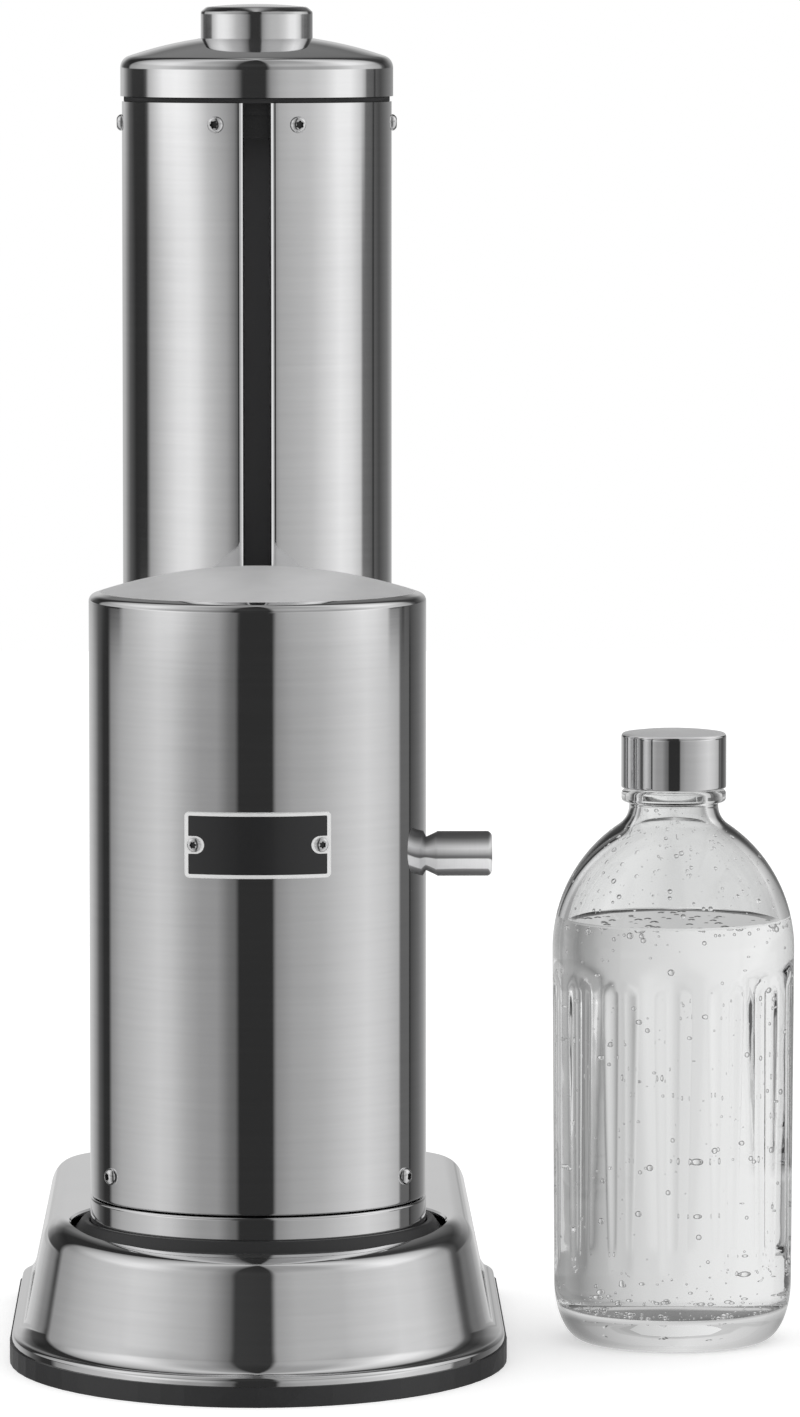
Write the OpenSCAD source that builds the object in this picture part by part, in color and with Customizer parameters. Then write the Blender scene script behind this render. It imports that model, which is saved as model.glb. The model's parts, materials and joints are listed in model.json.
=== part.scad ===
// Sparkling water maker: a steel chamber that turns and lifts on a slotted column, over a drawn
// steel base, with its fluted glass bottle standing beside it. Millimetres. The origin is on the
// floor, on the chamber's axis; the front is -Y and up is +Z.

/* [Bottle] */
// Radius of the glass bottle's body
bottle_r = 39.6; // [38.6:0.2:41]
// Height of the glass without its cap
bottle_h = 196; // [190:1:200]
// Wall of the glass
glass_t = 4; // [3.4:0.2:4.6]
// Flutes round the bottle
flute_count = 14; // [10:1:16]
// Depth of each flute
flute_depth = 1.2; // [0.8:0.1:1.6]
// Gap on the table between the foot and the bottle
bottle_gap = 15.9; // [8:0.5:40]

/* [Chamber] */
// Room between the bottle and the collar round it
bottle_clear = 4.9; // [4:0.1:6]
// Wall of the steel chamber and of the cup below it
chamber_wall = 1.5; // [1.2:0.1:1.8]
// Radius of the chamber's domed top
chamber_dome_r = 166; // [150:2:200]
// Radius of the chamber's top edge
chamber_edge_r = 2.5; // [2:0.1:3]
// How far the chamber turns to lock, in degrees
lock_turn = 25; // [22:1:26]

/* [Handle] */
// Height of the handle above the chamber's rim
handle_up = 109.7; // [90:1:120]
// Reach of the handle from the chamber's wall
handle_len = 21.1; // [18:0.5:26]
// Radius of the handle's grip
handle_r = 7.2; // [6.6:0.1:8]

/* [Front plate] */
// Width of the plate, measured straight across
plate_w = 46.2; // [43:0.2:50]
// Height of the plate
plate_h = 20.9; // [18:0.1:24]
// Height of the plate's middle above the chamber's rim
plate_up = 117.6; // [90:1:130]

/* [Column] */
// Radius of the column
column_r = 44.5; // [44:0.25:47]
// Sheet of the column
column_wall = 1.5; // [1.2:0.1:1.8]
// Gap between the chamber and the column
column_gap = 3.5; // [3:0.1:5]
// Width of the slot down the column's front
slot_w = 8.3; // [8:0.1:9.4]
// How far the chamber lifts
lift_travel = 170; // [166:1:174]

/* [Cap and button] */
// How far the cap stands out past the column
cap_lip = 0.5; // [0.2:0.1:1.5]
// Height of the cap over its gasket
cap_h = 21.7; // [20:0.1:25]
// Radius of the cap's dome
cap_dome_r = 130; // [110:2:160]
// Radius of the button
button_r = 18.45; // [17:0.25:20]
// Height of the button over the cap's highest line
button_rise = 8.6; // [7:0.2:11]

/* [Base] */
// Shelf between the chamber and the steel base's edge, at the sides
side_shelf = 25.7; // [24:0.5:32]
// The same shelf at the front
front_shelf = 30.7; // [29:0.5:38]
// Shelf between the column and the base's edge at the back
rear_shelf = 37.7; // [34:0.5:46]
// Radius of the base's rear corners
base_corner_r = 38; // [30:1:46]
// Height of the flat deck
deck_z = 47.4; // [46:0.2:52]
// Sheet of the base
base_sheet = 1.2; // [1:0.1:1.3]
// Height of the black foot
foot_h = 6.4; // [5.8:0.2:7.4]

/* [Gas] */
// Height of the gas cylinder up to its neck's top
cylinder_h = 347; // [342:1:350]
// Radius of the coil of the gas hose
hose_coil_r = 4.6; // [4.2:0.1:4.8]
// Turns of the gas hose
hose_turns = 21; // [12:1:22]

/* [Hidden] */
$fn = 96;
over = 1;
run_gap = 0.3;
seat_gap = 0.05;
hole_gap = 0.1;

// Bayonet rings, from the bottle outwards
collar_wall = 2.7;
hook_reach = 3.1;
ring_gap = 0.6;
lock_wall = 1.5;
lock_seat_gap = 0.1;
collar_ri = bottle_r + bottle_clear;
collar_ro = collar_ri + collar_wall;
hook_r = collar_ro + hook_reach;
lock_ri = hook_r + ring_gap;
lock_ro = lock_ri + lock_wall;
chamber_ri = lock_ro + lock_seat_gap;
chamber_r = chamber_ri + chamber_wall;

// Plan of the machine
column_y = chamber_r + column_gap + column_r;
column_ri = column_r - column_wall;

// Guide rail behind the column's slot, and the gas cylinder in the space behind the rail
slot_bend = 1.8;
slot_lip = 3.3;
lip_mid_x = slot_w / 2 + slot_bend;
lip_front_y = column_y - sqrt(pow(column_r, 2) - pow(lip_mid_x, 2));
lip_mid_y = lip_front_y + slot_bend;
rail_half = 14.5;
rail_t = 2;
rail_side_gap = 0.36;
rail_mouth = 8.2;
block_d = 13.9;
rail_y0 = column_y - sqrt(pow(column_ri - rail_side_gap, 2) - pow(rail_half, 2));
block_y0 = rail_y0 + rail_t + run_gap + seat_gap;
block_y1 = block_y0 + block_d;
rail_inner_y = block_y1 + run_gap;
rail_y1 = rail_inner_y + rail_t;
cylinder_front_gap = 3;
cylinder_side_gap = 1.5;
cylinder_space = column_y + column_ri - cylinder_side_gap - rail_y1 - cylinder_front_gap;
cylinder_r = cylinder_space / 2;
cylinder_y = rail_y1 + cylinder_front_gap + cylinder_r;

// Plan of the base
widest_y = 15;
base_half_w = chamber_r + side_shelf;
base_front = widest_y + chamber_r + front_shelf;
base_back_y = column_y + column_r + rear_shelf;
foot_lip = 0.8;
bottle_x = base_half_w + foot_lip + bottle_gap + bottle_r;
bottle_y = 54;
bottle_turn = -2.7;

// Heights of the base
foot_floor = 3;
frame_z = 18;
frame_t = 3;
floor_z = frame_z + frame_t;
cup_floor = 2;
seat_t = 2;
seat_z = floor_z + cup_floor + seat_t;
cup_reveal = 8.1;
cup_top = deck_z + cup_reveal;
seam = 0.5;
chamber_z0 = cup_top + seam;

// Heights of the head that meets the bottle
seal_t = 4.7;
head_t = 12;
head_shoulder_h = 5.7;
head_z0 = seat_z + bottle_h + run_gap + seal_t;
head_z1 = head_z0 + head_t;
post_z1 = head_z1 + head_shoulder_h;
bush_z0 = post_z1 + run_gap;
bush_h = 12;
bush_r = 12;
bush_z1 = bush_z0 + bush_h;

function sag(r, ball) = ball - sqrt(ball * ball - r * r);

chamber_top = bush_z1 + sag(bush_r, chamber_dome_r - chamber_wall) + chamber_wall;

// Heights of the carriage and the column
carriage_drop = 4;
carriage_h = 54;
carriage_z1 = head_z0 - carriage_drop;
carriage_z0 = carriage_z1 - carriage_h;
stop_gap = 1.5;
top_ring_h = 11.5;
top_plate_t = 4;
top_ring_z = carriage_z1 + lift_travel + stop_gap;
column_top = top_ring_z + top_ring_h;
top_plate_z = column_top - top_plate_t;
gasket_t = 1.7;
cap_r = column_r + cap_lip;
cap_z0 = column_top + gasket_t;
cap_top = cap_z0 + cap_h;
cap_wall = 1.5;
cap_edge_r = 4;

// Valve and gas cylinder, hung from the column's top
valve_r = 19;
valve_flange_r = 26;
valve_flange_t = 5;
valve_h = 52;
valve_z1 = top_plate_z - valve_flange_t;
valve_z0 = valve_z1 - valve_h;
valve_socket_h = 18;
valve_gasket_t = 0.9;
valve_socket_z = valve_z0 + valve_socket_h;
neck_z = valve_socket_z - valve_gasket_t - seat_gap;
cylinder_z0 = neck_z - cylinder_h;

// Points along an arc about [cx, cy], from angle a0 to a1
function arc(cx, cy, r, a0, a1, steps) =
    [for (i = [0 : steps])
        let (a = a0 + (a1 - a0) * i / steps)
        [cx + r * cos(a), cy + r * sin(a)]];

// Half section of a domed can: straight side, rounded edge and spherical top
function can_section(r, z0, top, ball, edge) =
    let (
        zc = top - ball,
        rise = sqrt(pow(ball - edge, 2) - pow(r - edge, 2)),
        turn = atan2(rise, r - edge)
    )
    concat(
        [[0, z0], [r, z0]],
        arc(r - edge, zc + rise, edge, 0, turn, 6),
        arc(0, zc, ball, turn + 2, 90, 9)
    );

module can(r, z0, top, ball, edge) {
    rotate_extrude()
        polygon(can_section(r, z0, top, ball, edge));
}

module ring(ro, ri, z0, z1) {
    translate([0, 0, z0])
        difference() {
            cylinder(r = ro, h = z1 - z0);
            translate([0, 0, -over])
                cylinder(r = ri, h = z1 - z0 + 2 * over);
        }
}

module disc(r, z0, z1) {
    translate([0, 0, z0])
        cylinder(r = r, h = z1 - z0);
}

// A stretch of ring from angle a0 to a1
module ring_part(ro, ri, z0, z1, a0, a1) {
    rotate([0, 0, a0])
        rotate_extrude(angle = a1 - a0)
            translate([ri, z0])
                square([ro - ri, z1 - z0]);
}

module box(x0, x1, y0, y1, z0, z1) {
    translate([x0, y0, z0])
        cube([x1 - x0, y1 - y0, z1 - z0]);
}

// Puts a thing that points along +Z onto a round wall, pointing outwards
module round_wall(r, z, angles) {
    for (a = angles)
        rotate([0, 0, a])
            translate([r, 0, z])
                rotate([0, 90, 0])
                    children();
}

module round_table(r, z, angles) {
    for (a = angles)
        rotate([0, 0, a])
            translate([r, 0, z])
                children();
}

module at_column() translate([0, column_y, 0]) children();
module at_cylinder() translate([0, cylinder_y, 0]) children();
module at_bottle() translate([bottle_x, bottle_y, 0]) children();

// A screw whose head sits on z = 0, its shank pointing down
head_shares = [[1, 0.45], [0.86, 0.78], [0.55, 1]];

module screw(head_r, head_h, shank_r, shank_l) {
    rotate_extrude()
        polygon(concat(
            [[0, -shank_l], [shank_r, -shank_l], [shank_r, 0], [head_r, 0]],
            [for (s = head_shares) [head_r * s[0], head_h * s[1]]],
            [[0, head_h]]
        ));
}

// A round tube of unbroken triangles along a path whose tangent is never upright
function unit(v) = v / norm(v);
function path_way(path, i) =
    unit(path[min(i + 1, len(path) - 1)] - path[max(i - 1, 0)]);
function tube_points(path, r, sides) =
    [for (i = [0 : len(path) - 1])
        let (
            way = path_way(path, i),
            side = unit(cross(way, [0, 0, 1])),
            rise = cross(side, way)
        )
        for (k = [0 : sides - 1])
            let (a = 360 * k / sides)
            path[i] + r * (cos(a) * side + sin(a) * rise)];
function tube_faces(rings, sides) =
    concat(
        [[for (k = [0 : sides - 1]) k]],
        [[for (k = [sides - 1 : -1 : 0]) (rings - 1) * sides + k]],
        [for (i = [0 : rings - 2], k = [0 : sides - 1], half = [0, 1])
            let (
                p = i * sides + k,
                q = i * sides + (k + 1) % sides
            )
            half == 0 ? [p, p + sides, q] : [q, p + sides, q + sides]]
    );

module tube(path, r, sides) {
    polyhedron(tube_points(path, r, sides), tube_faces(len(path), sides));
}

// A coil about the Z axis with straight ends, level and in line with its first and last turn
function coil(r, z0, z1, turns, steps, end) =
    concat(
        [[r, -end, z0]],
        [for (i = [0 : turns * steps])
            let (a = 360 * i / steps)
            [r * cos(a), r * sin(a), z0 + (z1 - z0) * i / (turns * steps)]],
        [[r, end, z1]]
    );
function least_gap(path, r, steps) =
    min([for (i = [0 : len(path) - 1], j = [i + steps - 2 : len(path) - 1])
        if (j < len(path)) norm(path[i] - path[j])]) - 2 * r;

// Plan of the base: half an ellipse in front, straight sides and two rear corners
front_steps = 32;
corner_steps = 7;
function outline(side, front, rear) =
    let (
        a = base_half_w - side,
        b = base_front - front,
        back = base_back_y - rear,
        cx = base_corner_r - side,
        cy = base_corner_r - rear
    )
    concat(
        [for (i = [0 : front_steps])
            let (t = 180 + 180 * i / front_steps)
            [a * cos(t), widest_y + b * sin(t)]],
        [for (i = [0 : corner_steps])
            let (t = 90 * i / corner_steps)
            [a - cx + cx * cos(t), back - cy + cy * sin(t)]],
        [for (i = [0 : corner_steps])
            let (t = 90 + 90 * i / corner_steps)
            [cx - a + cx * cos(t), back - cy + cy * sin(t)]]
    );

// Rings of the drawn shell, from its hem up over the cove, the skirt and the shoulder.
// A ring holds height, inset at the side, front and rear, and the tilt of its face.
hem_h = 3.2;
hem_top = foot_h + hem_h;
hem_r = 1.4;
cove_r = 3.5;
skirt_tilt = 12;
side_lean = 5;
front_lean = 9.2;
rear_lean = 2.1;
shoulder_h = 10;
side_shoulder = 7.5;
front_shoulder = 18;
rear_shoulder = 7;
hem_rings = [for (a = [0 : 30 : 90])
    let (inset = hem_r * (1 - cos(a)))
    [hem_top - hem_r + hem_r * sin(a), inset, inset, inset, a]];
cove_rings = [for (a = [20 : 29 : 78])
    let (inset = hem_r + cove_r * sin(a))
    [hem_top + cove_r * (1 - cos(a)), inset, inset, inset, 90 - a]];
cove_inset = hem_r + cove_r;
shoulder_z = deck_z - shoulder_h;
shoulder_rings = [for (a = [skirt_tilt : 13 : 90])
    [
        shoulder_z + shoulder_h * sin(a),
        cove_inset + side_lean + side_shoulder * (1 - cos(a)),
        cove_inset + front_lean + front_shoulder * (1 - cos(a)),
        cove_inset + rear_lean + rear_shoulder * (1 - cos(a)),
        a
    ]];
shell_rings = concat([[foot_h, 0, 0, 0, 0]], hem_rings, cove_rings, shoulder_rings);

function shell_ring(row, sheet) =
    let (in = sheet * cos(row[4]))
    [for (p = outline(row[1] + in, row[2] + in, row[3] + in))
        [p[0], p[1], row[0] - sheet * sin(row[4])]];

module shell_body(sheet, drop) {
    rows = [for (i = [0 : len(shell_rings) - 1])
        shell_ring(shell_rings[i], sheet)];
    first = [for (p = rows[0]) [p[0], p[1], p[2] - drop]];
    rest = [for (i = [1 : len(rows) - 1], p = rows[i]) p];
    points = concat(first, rest);
    n = len(first);
    m = len(rows);
    faces = concat(
        [[for (k = [0 : n - 1]) k]],
        [[for (k = [n - 1 : -1 : 0]) (m - 1) * n + k]],
        [for (i = [0 : m - 2], k = [0 : n - 1], half = [0, 1])
            let (
                p = i * n + k,
                q = i * n + (k + 1) % n
            )
            half == 0 ? [p, p + n, q] : [q, p + n, q + n]]
    );
    polyhedron(points, faces);
}

// Deck opening round the cup and the column
drip_ri = chamber_r + run_gap;
drip_w = 5.8;
drip_ro = drip_ri + drip_w;
drip_drop = 1.9;
drip_t = 4;
drip_z1 = deck_z - drip_drop;
drip_z0 = drip_z1 - drip_t;
deck_gap = 0.2;
column_bore = column_r + deck_gap;

// Foot, frame and the screws that join them
foot_rim = 4;
port_gap = 3;
port_r = cylinder_r + port_gap;
guide_gap = 1.5;
guide_r = cylinder_r + guide_gap;
post_r = 5;
base_screw_head_r = 3.4;
base_screw_head_h = 1.6;
base_screw_r = 1.5;
base_screw_l = 12;
base_screw_in = 0.5;
post_front_y = widest_y - base_front + cove_inset + front_lean + 2 * post_r;
post_side_x = base_half_w - cove_inset - side_lean - 2 * post_r;
post_rear_y = column_y + column_r;
post_places = [
    [0, post_front_y],
    [post_side_x, 0],
    [-post_side_x, 0],
    [post_side_x, post_rear_y],
    [-post_side_x, post_rear_y]
];
frame_inset = 8.5;
frame_front_inset = 10;
cup_bore_gap = 0.3;
frame_wall = 5.5;
cup_bore = chamber_r + cup_bore_gap;
frame_wall_r = drip_ri + frame_wall;
collar_t = 2.8;

module base_plan(inset, front, h) {
    linear_extrude(h)
        polygon(outline(inset, front, inset));
}

module foot_plate() {
    color("#2a2a2a")
        difference() {
            base_plan(-foot_lip, -foot_lip, foot_h);
            translate([0, 0, foot_floor])
                base_plan(foot_rim, foot_rim, foot_h);
            at_cylinder()
                disc(port_r, -over, foot_h);
            for (p = post_places)
                translate([p[0], p[1], 0]) {
                    disc(base_screw_head_r + hole_gap, -over, base_screw_in + base_screw_head_h);
                    disc(base_screw_r + hole_gap, -over, foot_h);
                }
        }
}

module base_screws() {
    color("silver")
        for (p = post_places)
            translate([p[0], p[1], base_screw_in + base_screw_head_h])
                mirror([0, 0, 1])
                    screw(base_screw_head_r, base_screw_head_h, base_screw_r, base_screw_l);
}

module base_frame() {
    color("#333333")
        difference() {
            union() {
                translate([0, 0, frame_z])
                    base_plan(frame_inset, frame_front_inset, frame_t);
                disc(frame_wall_r, frame_z, drip_z0);
                at_column()
                    disc(column_bore + collar_t, frame_z, drip_z0);
                for (p = post_places)
                    translate([p[0], p[1], 0])
                        disc(post_r, foot_floor, floor_z);
            }
            disc(cup_bore, floor_z, deck_z);
            at_column()
                disc(column_bore, floor_z, deck_z);
            at_cylinder()
                disc(guide_r, 0, deck_z);
            for (p = post_places)
                translate([p[0], p[1], 0])
                    disc(base_screw_r + hole_gap, 0, base_screw_l + foot_floor);
            for (a = collar_screw_angles)
                rotate([0, 0, a])
                    translate([collar_screw_at, 0, 0])
                        disc(collar_screw_r + hole_gap, 0, deck_z);
        }
}

module base_shell() {
    color("#d5d6d8")
        difference() {
            shell_body(0, 0);
            shell_body(base_sheet, over);
            disc(drip_ro + deck_gap, shoulder_z - over, deck_z + over);
            at_column()
                disc(column_bore, shoulder_z - over, deck_z + over);
        }
}

module drip_ring() {
    color("#262626")
        difference() {
            ring(drip_ro, drip_ri, drip_z0, drip_z1);
            at_column()
                disc(column_bore, drip_z0 - over, deck_z);
        }
}

// Cup, bayonet collar and pad that the bottle stands in
collar_z0 = floor_z + cup_floor;
collar_rise = 14.5;
collar_z1 = cup_top + collar_rise;
collar_flange_t = 2.5;
collar_flange_r = chamber_ri - run_gap;
collar_screw_angles = [30, 150, 270];
collar_screw_r = 1.4;
collar_screw_head_r = 2;
collar_screw_head_h = 1.2;
collar_screw_l = 6;
collar_screw_at = collar_ro + collar_screw_head_r + run_gap;
hook_t = 4.6;
hook_root = 1;
hook_z0 = collar_z1 - hook_t;
lug_angles = [-150, -30, 90];
lug_half = 17.5;
hook_start = -21;
hook_end = -66;
lug_gap = 1;
lug_t = 4;
lug_z0 = hook_z0 - lug_gap - lug_t;
stop_gap_turn = 1;
stop_start = -lock_turn - lug_half - stop_gap_turn;
stop_width = 3.5;
stop_short = 0.6;
seat_side_gap = 1;

module bottle_cup() {
    color("#d5d6d8")
        difference() {
            disc(chamber_r, floor_z, cup_top);
            disc(chamber_ri, collar_z0, cup_top + over);
            for (a = collar_screw_angles)
                rotate([0, 0, a])
                    translate([collar_screw_at, 0, 0])
                        disc(collar_screw_r + hole_gap, 0, cup_top);
        }
}

module bayonet_collar() {
    color("#3a3a3a")
        difference() {
            union() {
                disc(collar_ro, collar_z0, collar_z1);
                disc(collar_flange_r, collar_z0, collar_z0 + collar_flange_t);
                for (a = lug_angles) {
                    ring_part(
                        hook_r, collar_ro - hook_root, hook_z0, collar_z1,
                        a + hook_end, a + hook_start
                    );
                    ring_part(
                        hook_r - stop_short, collar_ro - hook_root, lug_z0, hook_z0 + hook_root,
                        a + stop_start - stop_width, a + stop_start
                    );
                }
            }
            disc(collar_ri, 0, collar_z1 + over);
            for (a = collar_screw_angles)
                rotate([0, 0, a])
                    translate([collar_screw_at, 0, 0])
                        disc(collar_screw_r + hole_gap, 0, cup_top);
        }
}

module collar_screws() {
    color("silver")
        round_table(collar_screw_at, collar_z0 + collar_flange_t, collar_screw_angles)
            screw(collar_screw_head_r, collar_screw_head_h, collar_screw_r, collar_screw_l);
}

module bottle_seat() {
    color("#222222")
        disc(collar_ri - seat_side_gap, collar_z0, seat_z);
}

// Column: a tube with a slot whose edges turn inwards
column_screw_down = 7;
column_screw_z = column_top - column_screw_down;
column_screw_angles = [-107.7, -72.3, 0, 180, 60, 120];
column_screw_head_r = 2.75;
column_screw_head_h = 1.7;
column_screw_r = 1.4;
column_screw_l = 4.5;

module column_screw_holes() {
    at_column()
        round_wall(0, column_screw_z, column_screw_angles)
            cylinder(r = column_screw_r + hole_gap, h = column_r + over);
}

module column_tube() {
    color("#d5d6d8")
        difference() {
            translate([0, 0, floor_z])
                linear_extrude(column_top - floor_z) {
                    difference() {
                        translate([0, column_y])
                            circle(r = column_r);
                        translate([0, column_y])
                            circle(r = column_ri);
                        translate([-lip_mid_x, chamber_r])
                            square([2 * lip_mid_x, column_ri]);
                    }
                    for (m = [0, 1])
                        mirror([m, 0]) {
                            translate([lip_mid_x, lip_mid_y])
                                circle(r = slot_bend);
                            translate([slot_w / 2, lip_mid_y])
                                square([column_wall, slot_lip]);
                        }
                }
            column_screw_holes();
        }
}

module column_screws() {
    color("silver")
        at_column()
            round_wall(column_r + seat_gap, column_screw_z, column_screw_angles)
                screw(column_screw_head_r, column_screw_head_h, column_screw_r, column_screw_l);
}

// Guide rail, open in front between two lips
block_half = rail_half - rail_t - run_gap;
manifold_h = 13;
manifold_z1 = floor_z + manifold_h;

// Room for the column's inturned edges
module slot_room()
    box(
        -rail_mouth, rail_mouth, chamber_r, lip_mid_y + slot_lip + run_gap,
        floor_z - over, column_top + over
    );

module guide_rail() {
    color("#2c2c2c")
        translate([0, 0, manifold_z1])
            linear_extrude(top_ring_z - manifold_z1)
                difference() {
                    translate([-rail_half, rail_y0])
                        square([2 * rail_half, rail_y1 - rail_y0]);
                    translate([rail_t - rail_half, rail_y0 + rail_t])
                        square([2 * (rail_half - rail_t), rail_inner_y - rail_y0 - rail_t]);
                    translate([-rail_mouth, rail_y0 - over])
                        square([2 * rail_mouth, rail_t + 2 * over]);
                }
}

// Top frame, cap and their fasteners
top_frame_gap = 0.1;
top_frame_r = column_ri - top_frame_gap;
top_ring_w = 3.4;
rod_r = 3;
rod_gap = 0.4;
cap_boss_r = 3.5;
cap_boss_in = 9;
cap_boss_at = column_ri - cap_boss_in;
cap_boss_angles = [20, 160, 270];
cap_screw_r = 1.4;
cap_screw_head_r = 2.5;
cap_screw_head_h = 1.8;
cap_screw_l = 12;
valve_screw_at = 22.5;
valve_screw_angles = [90, 210, 330];
valve_screw_r = 1.5;
valve_screw_head_r = 2.5;
valve_screw_head_h = 1.8;
valve_screw_l = 8;
gasket_w = 3.9;
gasket_in = 0.6;
button_gap = 0.3;

module top_frame() {
    color("#2c2c2c")
        difference() {
            at_column()
                difference() {
                    disc(top_frame_r, top_ring_z, column_top);
                    disc(top_frame_r - top_ring_w, top_ring_z - over, top_plate_z);
                }
            slot_room();
            column_screw_holes();
            at_cylinder() {
                disc(rod_r + rod_gap, top_ring_z, column_top + over);
                round_table(valve_screw_at, 0, valve_screw_angles)
                    disc(valve_screw_r + hole_gap, top_ring_z, column_top + over);
            }
            at_column()
                round_table(cap_boss_at, 0, cap_boss_angles)
                    disc(cap_screw_r + hole_gap, top_ring_z, column_top + over);
        }
}

module cap_gasket() {
    color("#1e1e1e")
        at_column()
            ring(column_r - gasket_in, column_r - gasket_in - gasket_w, column_top, cap_z0);
}

module top_cap() {
    color("#dcdddf")
        at_column()
            difference() {
                union() {
                    difference() {
                        can(cap_r, cap_z0, cap_top, cap_dome_r, cap_edge_r);
                        can(
                            cap_r - cap_wall, cap_z0 - over, cap_top - cap_wall,
                            cap_dome_r - cap_wall, cap_edge_r - cap_wall
                        );
                    }
                    intersection() {
                        can(cap_r, column_top, cap_top, cap_dome_r, cap_edge_r);
                        round_table(cap_boss_at, column_top, cap_boss_angles)
                            cylinder(r = cap_boss_r, h = cap_h);
                    }
                }
                disc(button_r + button_gap, column_top, cap_top + over);
                round_table(cap_boss_at, column_top - over, cap_boss_angles)
                    cylinder(r = cap_screw_r + hole_gap, h = cap_screw_l);
            }
}

module cap_screws() {
    color("silver")
        at_column()
            round_table(cap_boss_at, top_plate_z, cap_boss_angles)
                mirror([0, 0, 1])
                    screw(cap_screw_head_r, cap_screw_head_h, cap_screw_r, cap_screw_l);
}

// Button, its rod and its spring
button_travel = 3.5;
button_top = cap_top + button_rise;
button_chamfer_h = 1.6;
button_chamfer = 1.85;
button_crown = 1;
button_flange_w = 2;
button_flange_r = button_r + button_flange_w;
button_flange_t = 2.4;
button_play = 0.35;
cap_dome_drop = sag(button_flange_r, cap_dome_r - cap_wall);
button_z0 = cap_top - cap_wall - cap_dome_drop - button_play - button_flange_t;
spigot_r = 8.2;
spigot_h = 1.5;
spring_r = 6.5;
spring_wire = 0.7;
spring_turns = 6;
spring_steps = 8;
tube_sides = 6;
pin_r = 2;
pin_h = 5;
pin_stop_gap = 0.3;
pin_proud = 4;
pin_z1 = valve_socket_z + pin_proud;
rod_z0 = pin_z1 + pin_stop_gap;
button_ball = (pow(button_r - button_chamfer, 2) + pow(button_crown, 2)) / (2 * button_crown);
button_turn = acos((button_r - button_chamfer) / button_ball);

module button() {
    color("#e2e3e5")
        at_column()
            rotate_extrude()
                polygon(concat(
                    [
                        [0, button_z0 - spigot_h],
                        [spigot_r, button_z0 - spigot_h],
                        [spigot_r, button_z0],
                        [button_flange_r, button_z0],
                        [button_flange_r, button_z0 + button_flange_t],
                        [button_r, button_z0 + button_flange_t],
                        [button_r, button_top - button_crown - button_chamfer_h]
                    ],
                    arc(0, button_top - button_ball, button_ball, button_turn, 90, 6)
                ));
}

module push_rod() {
    color("silver")
        at_cylinder()
            disc(rod_r, rod_z0, button_z0);
}

spring_path = coil(
    spring_r, column_top + spring_wire, button_z0 - spigot_h - spring_wire,
    spring_turns, spring_steps, 2 * spring_wire
);

module button_spring() {
    color("silver")
        at_column()
            tube(spring_path, spring_wire, tube_sides);
}

// Valve body with its socket for the cylinder's neck and its arm out to the pipe
pipe_r = 2.5;
pipe_in_wall = 16;
pipe_x = column_ri - pipe_in_wall;
pipe_back = 24;
pipe_y = column_y - pipe_back;
pipe_in = 6;
neck_r = 10.5;
neck_gap = 0.1;
gas_bore = 6.2;
rod_bore = rod_r + rod_gap;
valve_room_h = 6;
arm_half = 5;
arm_up = 2;
arm_t = 12;
pipe_arm_z = valve_z0 + arm_up;
relief_up = 26;
relief_z = valve_z0 + relief_up;
relief_r = 4.5;
relief_l = 8;
relief_cap_r = 3;
relief_cap_l = 3;
pipe_angle = atan2(pipe_y - cylinder_y, pipe_x);
pipe_at = norm([pipe_x, pipe_y - cylinder_y]);

module valve_body() {
    color("#b9a46a")
        difference() {
            at_cylinder()
                union() {
                    disc(valve_r, valve_z0, valve_z1);
                    disc(valve_flange_r, valve_z1, top_plate_z);
                    rotate([0, 0, pipe_angle]) {
                        box(0, pipe_at, -arm_half, arm_half, pipe_arm_z, pipe_arm_z + arm_t);
                        translate([pipe_at, 0, 0])
                            disc(arm_half, pipe_arm_z, pipe_arm_z + arm_t);
                    }
                }
            at_cylinder() {
                disc(neck_r + neck_gap, valve_z0 - over, valve_socket_z);
                disc(gas_bore, valve_z0, valve_socket_z + valve_room_h);
                disc(rod_bore, valve_z0, top_plate_z + over);
                round_table(valve_screw_at, 0, valve_screw_angles)
                    disc(valve_screw_r + hole_gap, valve_z1 - over, top_plate_z + over);
            }
            translate([pipe_x, pipe_y, 0])
                disc(pipe_r + hole_gap, pipe_arm_z - over, pipe_arm_z + pipe_in);
        }
}

module valve_screws() {
    color("silver")
        at_cylinder()
            round_table(valve_screw_at, valve_z1, valve_screw_angles)
                mirror([0, 0, 1])
                    screw(valve_screw_head_r, valve_screw_head_h, valve_screw_r, valve_screw_l);
}

module valve_gasket() {
    color("#222222")
        at_cylinder()
            ring(neck_r, gas_bore, neck_z + seat_gap, valve_socket_z);
}

module relief_valve() {
    color("#c8b26e")
        at_cylinder()
            difference() {
                round_wall(0, relief_z, [180])
                    union() {
                        cylinder(r = relief_r, h = valve_r + relief_l);
                        cylinder(r = relief_cap_r, h = valve_r + relief_l + relief_cap_l);
                    }
                disc(valve_r + seat_gap, valve_z0, valve_z1);
            }
}

module gas_pipe() {
    color("#c0c2c4")
        translate([pipe_x, pipe_y, 0])
            disc(pipe_r, manifold_z1 - pipe_in, pipe_arm_z + pipe_in);
}

// Block at the column's foot that joins the pipe to the hose
boss_w = 6.4;
boss_h = 8;
hose_r = 1.6;
hose_steps = 8;
hose_y = (block_y0 + block_y1) / 2;
hose_z0 = manifold_z1 + boss_h / 2;
hose_z1 = carriage_z0 - boss_h / 2;
manifold_side = 6;

module gas_manifold() {
    color("#8c8e90")
        difference() {
            union() {
                intersection() {
                    box(
                        -rail_half, pipe_x + manifold_side, rail_y0, rail_y1,
                        floor_z, manifold_z1
                    );
                    at_column()
                        disc(column_ri - run_gap, floor_z, manifold_z1);
                }
                box(
                    hose_coil_r - boss_w / 2, hose_coil_r + boss_w / 2,
                    block_y0, hose_y - 2 * hose_r,
                    manifold_z1 - over, manifold_z1 + boss_h - hose_r
                );
            }
            slot_room();
            translate([pipe_x, pipe_y, 0])
                disc(pipe_r + hole_gap, manifold_z1 - pipe_in, manifold_z1 + over);
        }
}

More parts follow.
